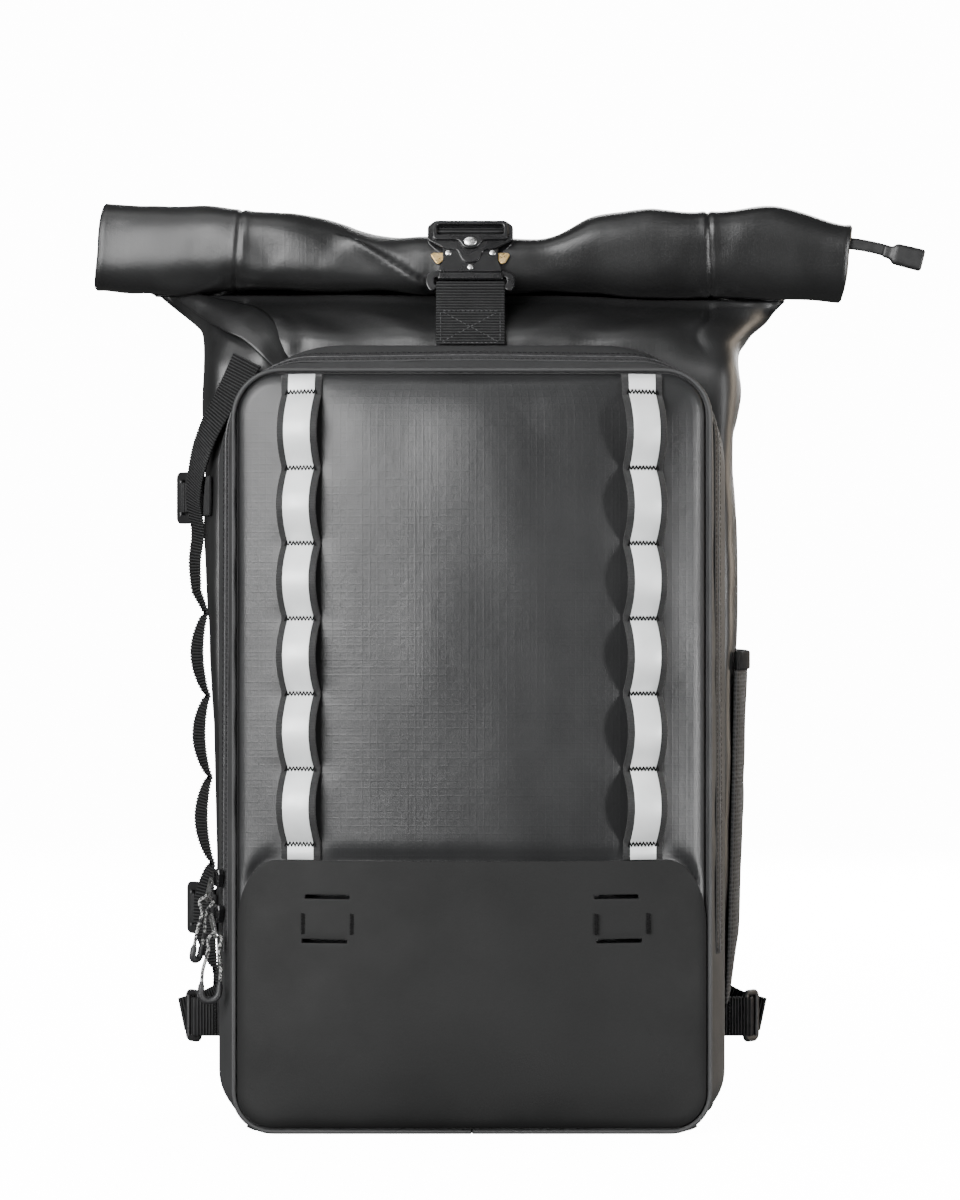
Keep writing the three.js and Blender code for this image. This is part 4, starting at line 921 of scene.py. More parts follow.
# Dents are listed by place, reach and push; folds by start, end, width and height
BODY_DENTS = (
    # pinched corners of the throat
    ((-150, -46, 494), (20, 20, 12), (10, 9, 0)),
    ((150, -46, 492), (18, 20, 12), (-11, 9, 0)),
    # hollows of the side panels under the ears
    ((-176, 24, 476), (16, 46, 16), (5, 0, 0)),
    ((176, 24, 474), (16, 46, 14), (-6, 0, 0)),
    # the right ear stands out
    ((180, 10, 500), (20, 34, 10), (9, -2, 0)),
    # slack of the side panels
    ((-170, 20, 380), (14, 70, 60), (-3.6, 0, 0)),
    ((168, 10, 420), (14, 60, 34), (-4, 0, 0)),
    ((168, 20, 320), (14, 60, 50), (2.5, 0, 0)),
    ((-168, 40, 250), (14, 50, 70), (3, 0, 0)),
)
BODY_FOLDS = (
    # side panels, back from their front seams
    ((-152, -40, 490), (-172, 30, 494), 7, -4),
    ((-148, -50, 470), (-170, 20, 462), 8, 2.5),
    ((150, -50, 468), (170, 26, 452), 8, 2.5),
    ((152, -48, 440), (168, 30, 410), 9, -2.5),
    ((-152, -48, 420), (-168, 40, 380), 9, -2.2),
    ((152, -48, 380), (165, 50, 330), 9, 2),
    # pleats beside the left seam of the throat
    ((-128, -55, 474), (-140, -40, 500), 2.8, 3.0),
    ((-121, -55, 478), (-131, -38, 503), 2.8, -2.6),
    ((-113, -55, 481), (-121, -36, 506), 3.2, 2.4),
    ((-103, -55, 484), (-112, -36, 506), 4, -1.6),
    # right ear, pinched in above the side panel
    ((176, 26, 484), (149, -54, 481), 3.4, -3.6),
    ((172, 10, 491), (152, -50, 487), 4.5, 2.2),
    ((136, -54, 488), (150, -34, 504), 4, 1.0),
    ((124, -54, 488), (132, -32, 506), 5, -0.8),
    # pull of the buckle strap
    ((-26, -54, 489), (-74, -28, 511), 7, 1.6),
    ((26, -54, 489), (80, -28, 510), 7, 1.6),
    ((-60, -54, 489), (-110, -30, 509), 9, -1.6),
    ((62, -54, 489), (112, -30, 508), 9, -1.6),
    # behind
    ((-60, 88, 504), (-120, 40, 516), 10, -3),
    ((58, 88, 504), (126, 40, 514), 10, -3),
    ((-20, 80, 509), (-66, 36, 520), 8, 2),
    ((22, 80, 509), (70, 36, 520), 8, 2),
)
THROAT_SEAMS = ((-143.5, 490), (150, 485))  # where the front meets the side panels, and how low it shows
# Left ear, folded forward over the side panel: its edge, how wide it is and how far it stands off
EAR_EDGE = (
    (-187, -16, 518.5, 5, 0.5), (-178, -20, 512, 11, 2.5), (-166, -28, 503.5, 17, 4.5),
    (-153, -38, 496, 21, 5.5), (-143, -46, 491, 22, 5), (-133, -53, 482.5, 19, 4.4),
    (-124, -57, 473.5, 14, 3.4), (-112, -58, 460, 12, 2),
)


def evened(values):
    """Each row of values averaged with the rows before and after it; the ends stay."""
    return np.concatenate([values[:1], (values[:-2] + 2 * values[1:-1] + values[2:]) / 4, values[-1:]])


def ear_grid(shell):
    """The folded ear, laid on the frontmost cloth behind it and standing off along its free edge."""
    rows = spline(EAR_EDGE, 72)
    along = unit(np.gradient(rows[:, [0, 2]], axis=0))
    inward = np.column_stack([-along[:, 1], along[:, 0]])
    inward *= np.where(inward[:, 1:] < 0, -1, 1)
    t = np.linspace(0, 1, 17)
    plan = rows[:, None, [0, 2]] + inward[:, None] * (rows[:, 3][:, None] * t)[..., None]
    near = shell[(shell[..., 2] > 462) & (shell[..., 1] < 30) & (shell[..., 0] < -80)]
    gap = np.linalg.norm(plan[:, :, None] - near[None, None][..., [0, 2]], axis=-1)
    y = np.min(np.where(gap < 3.2, near[:, 1], 99), axis=-1)
    y = np.minimum(y, near[:, 1][np.argmin(gap, axis=-1)])
    for _ in range(12):
        y = evened(evened(y).T).T
    stand = rows[:, 4][:, None] * (1 - t ** 2) - 2.4 * t ** 3
    return np.stack([plan[..., 0], y - stand, plan[..., 1]], axis=-1)[:, ::-1]


def throat_rows(body, shares, front):
    """The cloth from the top of the body up to the roll: in front to its underside, behind into its back."""
    start, below = body[-1], body[-4]
    x = MOUTH_REACH * shares
    under = roll_point(x, np.full_like(x, -90.0))
    tip = ease(0.86, 1.0, np.abs(shares))
    angle = roll_start(shares)
    behind = roll_point(x, angle)
    ahead = np.column_stack([x, lerp(-13.0, behind[:, 1], tip), lerp(under[:, 2] - 0.8, behind[:, 2], tip)])
    end = np.where(front[:, None], ahead, behind)
    turn = np.radians(angle)
    climb = np.column_stack([0 * x, -np.sin(turn) * 0.9, np.cos(turn)])
    into = np.where(front[:, None], np.array([0, 0.75, 0.66]), unit(climb))
    outward = np.column_stack([np.sign(shares), 0 * x, 0.8 + 0 * x])
    into = unit(lerp(into, unit(outward), tip[:, None] * 0.85))
    reach = np.linalg.norm(end - start, axis=1, keepdims=True)
    flare = ease(0.66, 0.92, np.abs(shares))[:, None]
    first = start + unit(start - below) * np.minimum(reach * 0.3, lerp(16, 5, flare))
    last = end - into * np.minimum(reach * 0.35, 16)
    t = np.linspace(0, 1, THROAT_ROWS + 1)[1:, None, None]
    return start * (1 - t) ** 3 + 3 * first * t * (1 - t) ** 2 + 3 * last * t**2 * (1 - t) + end * t**3


def body_grid():
    heights = np.concatenate([
        np.linspace(2.8, 14, 7)[:-1], np.linspace(14, 62, 15)[:-1],
        np.linspace(62, 420, 56)[:-1], np.linspace(420, BODY_TOP, 30),
    ])
    body = np.stack([body_loop(z) for z in heights])
    shares, front = loop_shares()
    grid = np.concatenate([body, throat_rows(body, shares, front)])
    normals = grid_normals(grid, wrap=True)
    x, y, z = np.moveaxis(grid, -1, 0)
    eased = dent(grid, BODY_DENTS)
    moved = fold(eased, normals, BODY_FOLDS)
    for seam, low in THROAT_SEAMS:
        line = bell(x - seam, 1.8) * ease(low - 4, low + 4, z) * (y < 10)
        moved -= normals * (2.4 * line)[..., None]
    slack = -0.8 * (1 + np.clip(0.7 * wobble(grid, 130, 3) + 0.4 * wobble(grid, 52, 4), -1, 1))
    calm = np.where((y > 90) & (z < 470), 0.25, 1.0)
    moved = moved + normals * (slack * calm)[..., None]
    row = np.arange(len(grid))[:, None]
    held = ease(len(grid) - 1, len(grid) - 7, row)
    ears = ease(0.86, 0.97, np.abs(shares))[None] * ease(len(body) - 4, len(body) + 8, row)
    moved = lerp(moved, eased, ears[..., None])
    moved = lerp(grid, moved, held[..., None])
    pinched = bell(np.abs(x) - 149, 13) * bell(z - 487, 13) * (y < -20)
    for _ in range(6):
        beside = (np.roll(moved, 1, axis=1) + np.roll(moved, -1, axis=1)) / 2
        above = np.concatenate([moved[:1], (moved[2:] + moved[:-2]) / 2, moved[-1:]])
        moved = lerp(moved, (beside + above) / 2, np.minimum(pinched, 0.8)[..., None])
    return moved


ROLL_FOLDS = (
    # in front
    ((-73, -35, 560), (-26, -35, 526), 7, 2.4),
    ((-94, -34, 560), (-50, -35, 524), 9, -2.2),
    ((-160, -35, 570), (-120, -35, 540), 10, -1.6),
    ((168, -35, 566), (136, -35, 528), 10, -0.9),
    ((-205, -35, 575), (-196, -35, 528), 12, 1.4),
    # on top and behind
    ((-120, -20, 572), (-60, -12, 561), 9, 2.0),
    ((120, -18, 572), (56, -12, 560), 9, 2.0),
    ((-90, 16, 540), (-30, 18, 552), 9, -2.0),
    ((92, 16, 540), (30, 18, 552), 9, -2.0),
)
ROLL_TUCKS = (
    # the outer layer, drawn down to the foot of the buckle: start, end, reach, rise and drop
    ((-25, -36, 524), (-80, -34, 560), 16, 3.2, 2.6),
)
ROLL_DENTS = (
    # pinched feet of the left and right seams
    ((-149, -34, 522), (8, 18, 11), (0, 6, 0)),
    ((-180, -34, 526), (20, 18, 10), (0, 4, 0)),
    ((150, -34, 520), (7, 18, 9), (0, 4, 0)),
)


def roll_grid():
    shares, front = loop_shares()
    order = np.argsort(-np.where(front, np.nan, shares), kind="stable")[: np.count_nonzero(~front)]
    share = np.concatenate([shares[order], [-1.0]])
    begin, first_turn, end = roll_start(share), 290.0, ROLL["start"] + 360 * ROLL["turns"]
    outer = np.linspace(0, 1, 121)[:-1]
    inner = np.linspace(0, 1, 70)[:, None]
    wound_on = lerp(first_turn, end, inner) + 0 * begin
    angle = np.concatenate([lerp(begin, first_turn, outer[:, None]), wound_on])
    x = share[None] * lerp(MOUTH_REACH, ROLL_REACH, ease(begin[None], begin[None] + 80, angle))
    x = x + 3.2 * np.sin(np.radians(angle)) * np.abs(share[None]) ** 8
    grid = roll_point(x, angle)
    normals = grid_normals(grid)
    face = roll_point(x, np.mod(angle - ROLL["start"], 360) + ROLL["start"])
    moved = grid + tuck(fold(dent(face, ROLL_DENTS), normals, ROLL_FOLDS), normals, ROLL_TUCKS) - face
    quiet = 1 - bell(x + 1, 30)
    uneven = 0.9 * wobble(face, 95, 11, (1, 0.6, 0.6)) + 0.45 * wobble(face, 38, 12, (1, 0.5, 0.5))
    above = face[..., 2] - ROLL["z"]
    off = (x - np.where(x < 0, -147.5 + 0.09 * above, 149.5 - 0.05 * above)) * np.sign(x)
    seam = 0.5 * bell(off + 2.6, 2.6) - bell(off, 1.2) + 0.35 * bell(off - 2.4, 2)
    calm = lerp(1.0, 0.45, ease(20, 90, x))
    lift = (np.clip(uneven, -1.8, 1.4) - 0.4) * quiet * calm + seam
    moved = moved + normals * lift[..., None]
    begun = np.concatenate([ease(0, 0.06, outer), np.ones(len(inner))])[:, None]
    settle = begun * np.minimum(2 * quiet, 1)
    moved = lerp(grid, moved, settle[..., None])
    lean = ROLL["lean"] * ease(-10, 60, x) * ease(-12, -26, moved[..., 1]) * settle
    moved[..., 1] -= lean * (moved[..., 2] - ROLL["z"])
    return moved


def add_body():
    shell = body_grid()
    Pile().sheet(shell, WALL, wrap=True).sheet(ear_grid(shell), 1.4).piece(
        "bag_shell", SHADED_BODY_COATED, "coated_fabric",
        replaces=["front_wall", "back_wall", "side_panel_left", "side_panel_right"])
    roll = Pile().sheet(roll_grid(), ROLL["thick"]).piece(
        "rolled_mouth", SHADED_BODY_COATED, "coated_fabric", replaces=["roll_top"])
    return shell


BASE = {"half": 140.0, "front": -84.0, "back": 90.0, "corner": 28.0}
BASE_PROFILE = (
    # share of the way out to the rim, and height
    (0.05, 0.3), (0.5, 0.3), (0.9, 0.3), (0.985, 0.1), (1.0, 1.2), (0.99, 2.4), (0.9, 2.5), (0.05, 2.5),
)


def add_base():
    """The base: a stiff sheet with a rounded edge."""
    corner = BASE["corner"]
    side, front, back = BASE["half"] - corner, BASE["front"] + corner, BASE["back"] - corner
    rim = []
    for x, y, start in ((side, back, 0), (-side, back, 90), (-side, front, 180), (side, front, 270)):
        turn = np.radians(np.linspace(start, start + 90, 13))
        rim.append(np.column_stack([x + corner * np.cos(turn), y + corner * np.sin(turn)]))
    rim = np.concatenate(rim)
    middle = rim.mean(axis=0)
    rings = [np.column_stack([middle + (rim - middle) * s, np.full(len(rim), z)]) for s, z in BASE_PROFILE]
    Pile().grid(np.stack(rings), wrap=True, caps=True).piece(
        "base_sheet", RUBBERISED, "coated_fabric", replaces=["base_panel"])


# Front pocket

def face_y(x, z):
    """Front surface of the pocket: pillowed, fullest along its middle."""
    across = 1 - np.minimum(np.abs(x) / FACE["half"], 1) ** 2.2
    middle = (FACE["low"] + FACE["high"]) / 2
    along = 1 - np.minimum(np.abs(z - middle) / (FACE["high"] - middle), 1) ** 7
    return FACE["y"] - FACE["bulge"] * across * np.sqrt(np.clip(along, 0, None))


def face_normal(x, z):
    d = 0.5
    slope_x = (face_y(x + d, z) - face_y(x - d, z)) / (2 * d)
    slope_z = (face_y(x, z + d) - face_y(x, z - d)) / (2 * d)
    return unit(np.stack([slope_x, -np.ones_like(slope_x), slope_z], axis=-1))


def tack_heights():
    return LADDER["first"] - LADDER["pitch"] * np.arange(LADDER["loops"] + 1)


def face_relief(x, z):
    """Unevenness of the cloth: turned under at the seam, drawn in at the tacks, soft waves between."""
    inside = edge_distance(FACE, x, z)
    tucked = 2.6 * np.clip(1 - inside / 7, 0, 1) ** 2
    place = np.stack([x, 0 * x, z], axis=-1)
    waves = 0.5 * wobble(place, 150, 21) + 0.16 * wobble(place, 46, 22, (1, 1, 0.4))
    drawn = 0 * x
    for side in SIDES.values():
        for level in tack_heights():
            drawn = drawn + 0.9 * bell(x - side * LADDER["x"], 15) * bell(z - level, 7)
    return tucked + waves * ease(0, 26, inside) + drawn


def face_grid(heights, half, columns, offset):
    z = np.asarray(heights, float)[:, None]
    x = np.asarray(columns, float)[None] * half(z)
    z = np.broadcast_to(z, x.shape)
    return np.stack([x, face_y(x, z) + face_relief(x, z) - offset, z], axis=-1)


def lower_half(z):
    rise = np.clip((z - LOWER["high"] + LOWER["tall"]) / LOWER["tall"], 0, 1)
    return face_half(z) - LOWER["wide"] * (1 - np.sqrt(1 - rise * rise))


def add_pocket_face():
    top = FACE["high"] - FACE["top"] * (1 - np.sin(np.linspace(0, math.pi / 2, 18)))
    heights = np.concatenate([np.linspace(FACE["hidden"], FACE["high"] - FACE["top"], 100)[:-1], top])
    columns = np.linspace(-1, 1, 105)
    panel = face_grid(heights, face_half, 1.12 * columns - 0.12 * columns ** 3, 0.0)
    flat = flat_of(panel)
    x, z = panel[..., 0], panel[..., 2]
    aside, (inner, outer) = np.abs(x), SLOTS["x"]
    # pushed back behind the slots, and tucked in along the apron's edge
    across = ease(inner - 8, inner, aside) * ease(outer + 8, outer, aside)
    for level in np.mean(SLOTS["levels"], axis=1):
        panel[..., 1] += 14 * across * bell(z - level, 4)
    turn = np.clip((aside - FACE["half"] + LOWER["wide"]) / LOWER["wide"], 0, 1)
    edge = LOWER["high"] - LOWER["tall"] * (1 - np.sqrt(1 - turn ** 2))
    free = (1 - np.exp(-((aside - LADDER["x"]) / 17) ** 4)) * ease(0, 12, edge_distance(FACE, x, z))
    panel[..., 1] += 3.4 * free * bell(z - edge + 1, 6.5)
    face = Pile().sheet(panel, WALL, flat=flat).piece(
        "pocket_face", COATED, "coated_fabric", replaces=["front_panel"])


def add_apron():
    """The lower panel, with its slots cut through."""
    foot = FACE["low"] + FACE["foot"] * (1 - np.cos(np.linspace(0, math.pi / 2, 14)))
    shoulder = LOWER["high"] - LOWER["tall"] * (1 - np.sin(np.linspace(0, math.pi / 2, 20)))
    marks = np.round(np.ravel(SLOTS["levels"]), 3)
    heights = np.concatenate([foot, np.linspace(29, 116, 26), [127], shoulder, marks])
    heights = np.unique(np.round(heights, 3))
    gap = np.min(np.abs(heights[:, None] - marks), axis=1)
    heights = heights[(gap == 0) | (gap > 0.9)]
    inner, outer = (v / FACE["half"] for v in SLOTS["x"])
    right = [np.linspace(0, inner, 24), np.linspace(inner, outer, 12)[1:], np.linspace(outer, 1, 14)[1:]]
    right = np.concatenate(right)
    columns = np.concatenate([-right[:0:-1], right])
    pile = Pile().grid(face_grid(heights, lower_half, columns, 2 * GAP + LOWER["thick"]))
    z = (heights[:-1] + heights[1:])[:, None] / 2
    x = np.abs(columns[:-1] + columns[1:]) / 2
    level = sum((low < z) & (z < high) for low, high in SLOTS["levels"])
    stay = np.flatnonzero(~((level > 0) & (inner < x) & (x < outer)))
    pile.faces = [pile.faces[k] for k in stay]
    pile.flats = [pile.flats[0].reshape(-1, 4, 2)[stay].reshape(-1, 2)]
    apron = pile.piece("pocket_apron", RUBBERISED, "rubberised_fabric", replaces=["lower_panel"])
    solid = apron.modifiers.new("thickness", "SOLIDIFY")
    solid.thickness, solid.offset = LOWER["thick"] * MM, -1
    ease_edges(apron, "soft_edges", 0.4, 2, 50)

    # Bar tacks between the slots
    pile = Pile()
    for x in SLOT_TACKS["x"]:
        for z in SLOT_TACKS["z"]:
            place = np.array([x, float(face_y(np.array(x), np.array(z))) - 2.4, z])
            pile.zigzag(place, UP, RIGHT, -BACK, 6.4, 2.3, 7, 0.42)
    pile.piece("apron_stitching", THREAD, "rubberised_fabric")


def outline(shape, grow=0.0, arc=16, side=60, top=44):
    """An outline from its lower left corner over the top to its lower right corner."""
    half, high = shape["half"] + grow, shape["high"] + grow
    round_top, foot = shape["top"] + grow, shape["foot"] + grow
    low = shape["low"] + shape["foot"]

    def bend(x, z, radius, start, end):
        turn = np.radians(np.linspace(start, end, arc + 1))
        return np.column_stack([x + radius * np.cos(turn), z + radius * np.sin(turn)])

    parts = [
        bend(-half + foot, low, foot, 270, 180),
        bend(-half + round_top, high - round_top, round_top, 180, 90),
        bend(half - round_top, high - round_top, round_top, 90, 0),
        bend(half - foot, low, foot, 0, -90),
    ]
    under = np.linspace(parts[0][0] + (UNDERSIDE, 0), parts[0][0], 25)[:-1]
    line = [under, parts[0]]
    for before, after, count in zip(parts, parts[1:], (side, top, side)):
        line += [np.linspace(before[-1], after[0], count + 1)[1:-1], after]
    line.append(under[::-1] * (-1, 1))
    return np.concatenate(line)


def standing(line, y):
    """An outline stood up at one depth."""
    return np.column_stack([line[:, 0], np.full(len(line), y), line[:, 1]])


def gusset_grid(shares, grow=0.0):
    face, heel = outline(FACE, 0.5 + grow)[:, None], outline(HEEL, grow)[:, None]
    share = np.asarray(shares, float)[None, :, None]
    gap = heel - face
    flat = np.maximum(np.linalg.norm(gap, axis=2, keepdims=True), 1e-6)
    swell = GUSSET_SWELL * np.sin(math.pi * share) ** 0.8
    push = swell * np.minimum(flat, 14) / 14 / flat
    place = face + gap * share + gap * push
    y = lerp(GUSSET_FRONT, HEEL["y"], share[..., 0]) - swell[..., 0] * 0.6
    z = np.maximum(place[..., 1], HEEL["low"])
    return np.stack([place[..., 0], np.broadcast_to(y, z.shape), z], axis=-1)


def add_gusset():
    shares = np.linspace(0, 1, 25)
    grid = gusset_grid(shares)[:, ::-1]
    puckers = 0.35 * wobble(grid, 34, 31) + 0.5 * wobble(grid, 90, 32)
    fade = np.sin(math.pi * shares[::-1])[None]
    grid = grid - grid_normals(grid) * (np.clip(puckers + 0.5, 0, 1.4) * fade)[..., None] * 0.6
    # with a seam allowance behind the welt
    lips = [standing(outline(FACE, grow), GUSSET_FRONT - 0.2) for grow in (2.6, 0, -4)]
    Pile().sheet(grid, WALL).sheet(np.stack(lips, axis=1), 0.8).piece(
        "pocket_side", LIT_GUSSET_COATED, "coated_fabric", replaces=["pocket_gusset"])

    # Zip: tape, coil, and the rows of stitches beside it
    plain = gusset_grid(np.linspace(ZIP["from"], ZIP["to"], 9))[:, ::-1]
    plain = plain[plain[:, 4, 2] >= ZIP["low"]]
    normals = grid_normals(plain)
    crown = 0.1 + 0.4 * np.sin(math.pi * np.linspace(0, 1, 9)) ** 1.2
    Pile().sheet(plain + normals * crown[None, :, None], 0.6).piece(
        "zip_tape", ZIP_TAPE, "zip_tape", replaces=["pocket_zip"])
    ridge = 0.5 + 0.26 * (np.arange(1500) % 2)
    centre = resample(plain[:, 4] + normals[:, 4] * 0.4, len(ridge))
    Pile().tube(centre, ridge).piece("zip_coil", ZIP_COIL, "zip_tape")
    pile = Pile()
    for column in (1, 7):
        out = normals[:, column]
        pile.stitches(plain[:, column] + out * 0.42, out, 3.4, 2.2, 0.16)
    pile.piece("zip_stitching", THREAD, "zip_tape")

    # Welt: the turned seam round the face
    line = resample(standing(outline(FACE, 2.3), FACE["y"]), 420)
    Pile().tube(line, 1.45, sides=12).piece(
        "seam_welt", LIT_GUSSET_COATED, "rubberised_fabric", replaces=["panel_piping"])


# Webbing ladders with reflective tape

def ladder_stations(x):
    marks = [(LADDER["top"], 0.0), ((LADDER["top"] + LADDER["first"]) / 2, 0.0)]
    for k in range(LADDER["loops"]):
        for t in np.linspace(0, 1, 27)[:-1]:
            bow = math.sin(math.pi * min(max((t - 0.05) / 0.9, 0), 1)) ** 0.85
            marks.append((LADDER["first"] - LADDER["pitch"] * (k + t), LADDER["lift"] * bow))
    last = LADDER["first"] - LADDER["pitch"] * LADDER["loops"]
    marks += [(last, 0.0), ((last + LADDER["low"]) / 2, 0.0), (LADDER["low"], 0.0)]
    z, rise = np.array(marks).T
    side = np.full_like(z, x)
    normal = face_normal(side, z)
    line = np.stack([side, face_y(side, z), z], axis=-1) + normal * (rise + 3 * GAP)[:, None]
    return stations_on(line, np.cross(normal, UP), normal)


def add_ladders():
    for name, side in SIDES.items():
        stations = ladder_stations(side * LADDER["x"])
        Pile().ribbon(stations, WEBBING["width"], WEBBING["thick"]).piece(
            f"ladder_{name}", LADDER_WEB, "webbing", replaces=[f"ladder_webbing_{name}"])
        Pile().ribbon(stations, STRIPE["width"], STRIPE["thick"], WEBBING["thick"] + 0.05).piece(
            f"tape_{name}", REFLECTIVE, "reflective_tape", replaces=[f"reflective_stripe_{name}"])
        line, across, _ = stations
        pile = Pile()
        for level in tack_heights():
            k = int(np.argmin(np.abs(line[:, 2] - level)))
            top = face_normal(np.array(side * LADDER["x"]), np.array(level))
            place = line[k] + top * (WEBBING["thick"] + STRIPE["thick"] + TACK_LIFT)
            pile.zigzag(place, across[k], UP, top, STRIPE["width"] + 3, 3.0, 9, 0.42)
        pile.piece(f"tacks_{name}", THREAD, "webbing")


# Straps above and below the buckle

LOWER_STRAP = ((-58.2, 486.8), (-54.6, 496), (-50.2, 506), (-46.6, 514.5), (-44.6, 520.5))
LOWER_STRAP_BAR = ((-21.6, 5.6), (-18.8, 4.4), (-18.6, 1.2), (-21.0, -0.9))
LOWER_STRAP_END = ((-39.2, 516), (-43.4, 507))
UPPER_STRAP_BAR = ((12.1, -0.4), (12.3, 4.6), (14.4, 7.0), (16.4, 5.0), (16.7, 0.4))
BOX_STITCH = {"half": 18.5, "high": 508}


def buckle_place(up, out):
    """Depth and height of a point that lies up the buckle's face and out of it."""
    sine, cosine = math.sin(BUCKLE["lean"]), math.cos(BUCKLE["lean"])
    return BUCKLE["y"] + up * sine - out * cosine, BUCKLE["z"] + up * cosine + out * sine


def add_strap(name, path, count, width, hint):
    """A strap along depths and heights in the middle of the bag; returns its line and the way out of it."""
    line = spline([(BUCKLE["x"], y, z) for y, z in path], count)
    across = np.broadcast_to(RIGHT, line.shape)
    out = np.cross(unit(np.gradient(line, axis=0)), across)
    way = 1.0 if out[0] @ np.array(hint) > 0 else -1.0
    Pile().ribbon((line, across * way, out * way), width, 1.6, -0.8, RIBS).piece(
        f"buckle_web_{name}", RIBBED, "webbing", replaces=[f"buckle_strap_{name}"])
    return line, out * way


def add_buckle_straps(shell):
    path = [*LOWER_STRAP, *(buckle_place(*p) for p in LOWER_STRAP_BAR), *LOWER_STRAP_END]
    line, out = add_strap("lower", path, 130, 43, (0, -1, 0.3))

    # Stitches: a box with a cross in it
    front = line[:, 2] < BOX_STITCH["high"]
    front[np.argmax(line[:, 2]):] = False
    rows = (line + out)[front][1:-1]
    half = BOX_STITCH["half"]
    at = lambda x: rows + np.outer(x, RIGHT)
    edges = [at(np.full(len(rows), x)) for x in (-half, half)]
    runs = edges + [np.linspace(edges[0][k], edges[1][k], 12) for k in (0, -1)]
    runs += [at(np.linspace(-x, x, len(rows))) for x in (-half, half)]
    normal = out[front][len(rows) // 2]
    pile = Pile()
    for run in runs:
        pile.stitches(run, np.broadcast_to(normal, run.shape), 2.9, 2.0, 0.36)
    pile.piece("buckle_web_stitching", THREAD_LIGHT, "webbing")

    # From the buckle over the roll and down behind it
    over = roll_point(np.full(12, -1.0), np.linspace(112, 4, 12))
    over = over + unit(over - (0, ROLL["y"], ROLL["waist"])) * 1.5
    behind = shell[::-1, FRONT_CELLS + SIDE_CELLS + FRONT_CELLS // 2]
    behind = behind[(behind[:, 2] > 500) & (behind[:, 1] < 80)] + unit(np.array([0, 0.45, 0.9])) * 1.4
    path = [*(buckle_place(*p) for p in UPPER_STRAP_BAR), *over[1:, 1:], *behind[5::4, 1:]]
    add_strap("upper", path, 150, 44.4, (0, -0.2, -1))


# Metal buckle: layered plates, in its own frame of across, up its face and out of it

BUCKLE_HALF = 26.8
BUCKLE_SLOT = ((20.8, 17.9), (20.8, 11.2))
BUCKLE_PLATES = (
    # right half of the outline from the top down, corner radius, back, front, bevel, slotted
    (((22, 21), (BUCKLE_HALF, 17), (BUCKLE_HALF, 8.2), (17.2, -0.5), (17.2, -12.6)),
     2.0, 0.0, 2.4, 0.4, True),
    (((21, 19.5), (25, 17.5), (25, 9.5), (9, 8.5)), 1.5, 2.45, 4.95, 0.2, True),
    (((7.5, 8), (7.5, -12)), 1.0, 2.45, 4.95, 0.2, False),
    (((17.3, 6), (17.3, -5.5), (19.6, -9.4), (19.2, -12.2)), 1.2, 5.0, 6.9, 0.5, False),
    (((22, 21.2), (BUCKLE_HALF, 17.4), (BUCKLE_HALF, 8.4), (16.8, 3.0), (8, 1.6), (5.6, -4.2), (3, -6.4)),
     1.8, 6.95, 8.5, 0.5, True),
    (((19.6, 20.4), (23.6, 18.8), (23.6, 9.2), (21.6, 7.9), (7.4, 7.7), (4.6, 3.2), (2, 2.3)),
     2.4, 8.55, 10.3, 0.7, True),
)
BUCKLE_FOOT = (
    (18.2, -13.2), (19.8, -10.2), (27.6, -12.8), (28, -19.6), (25.6, -23.8), (22.8, -23.8), (21.6, -22.6),
)
BUCKLE_WINDOW = ((22.4, -15.2), (22.4, -19.8))
BUCKLE_BAR = ((20.2, -12.7), (20.6, -17.5))
RIVETS = (
    # name, across, up, out, half width, half height, height of the head
    ("centre", 0, 6.6, 10.3, 4.2, 3.0, 1.1), ("lower", 0, -9.2, 6.9, 2.0, 1.8, 0.8),
    ("left", -13.8, 0.2, 6.9, 2.0, 1.8, 0.8), ("right", 13.8, 0.2, 6.9, 2.0, 1.8, 0.8),
)
LEVER = (
    (10.4, 3.2), (17, 1.1), (23.2, 1.1), (24.9, -0.2), (21.6, -5.6), (20, -6.5), (18.4, -5.2), (16, -2.0),
    (10.4, -2.2),
)


def on_buckle(points):
    """From across, up and out on the buckle to the bag's frame."""
    y, z = buckle_place(points[..., 1], points[..., 2])
    return np.stack([BUCKLE["x"] + points[..., 0], y, z], axis=-1)


def add_buckle():
    whole = lambda half, radius: rounded(mirrored(half), radius)
    pile = Pile()
    for half, radius, back, front, bevel, slotted in BUCKLE_PLATES:
        slots = [whole(BUCKLE_SLOT, 1.6)] if slotted else []
        pile.plate([whole(half, radius), *slots], back, front, bevel, on_buckle)
    pile.piece("buckle_plates", BLACK_METAL, "black_metal", replaces=["buckle_body"])

    pile = Pile().plate([whole(BUCKLE_FOOT, 2.6), whole(BUCKLE_WINDOW, 1.2)], 0.6, 4.6, 0.8, on_buckle)
    pile.plate([whole(BUCKLE_BAR, 1.6)], 4.65, 8.2, 1.2, on_buckle).piece(
        "buckle_foot", BLACK_METAL, "black_metal", replaces=["buckle_frame"])

    for name, across, up, out, wide, tall, high in RIVETS:
        Pile().dome((across, up, out), wide, tall, high, on_buckle).piece(
            f"rivet_{name}", STEEL, "steel", replaces=[f"buckle_rivet_{name}"])
    for name, side in SIDES.items():
        Pile().plate([rounded(np.array(LEVER) * (side, 1), 0.8)], 2.75, 4.7, 0.35, on_buckle).piece(
            f"lever_{name}_tab", BRASS, "brass", f"lever_{name}", [f"buckle_lever_{name}"])


# Pull at the right end of the roll: a folded tape in a moulded end

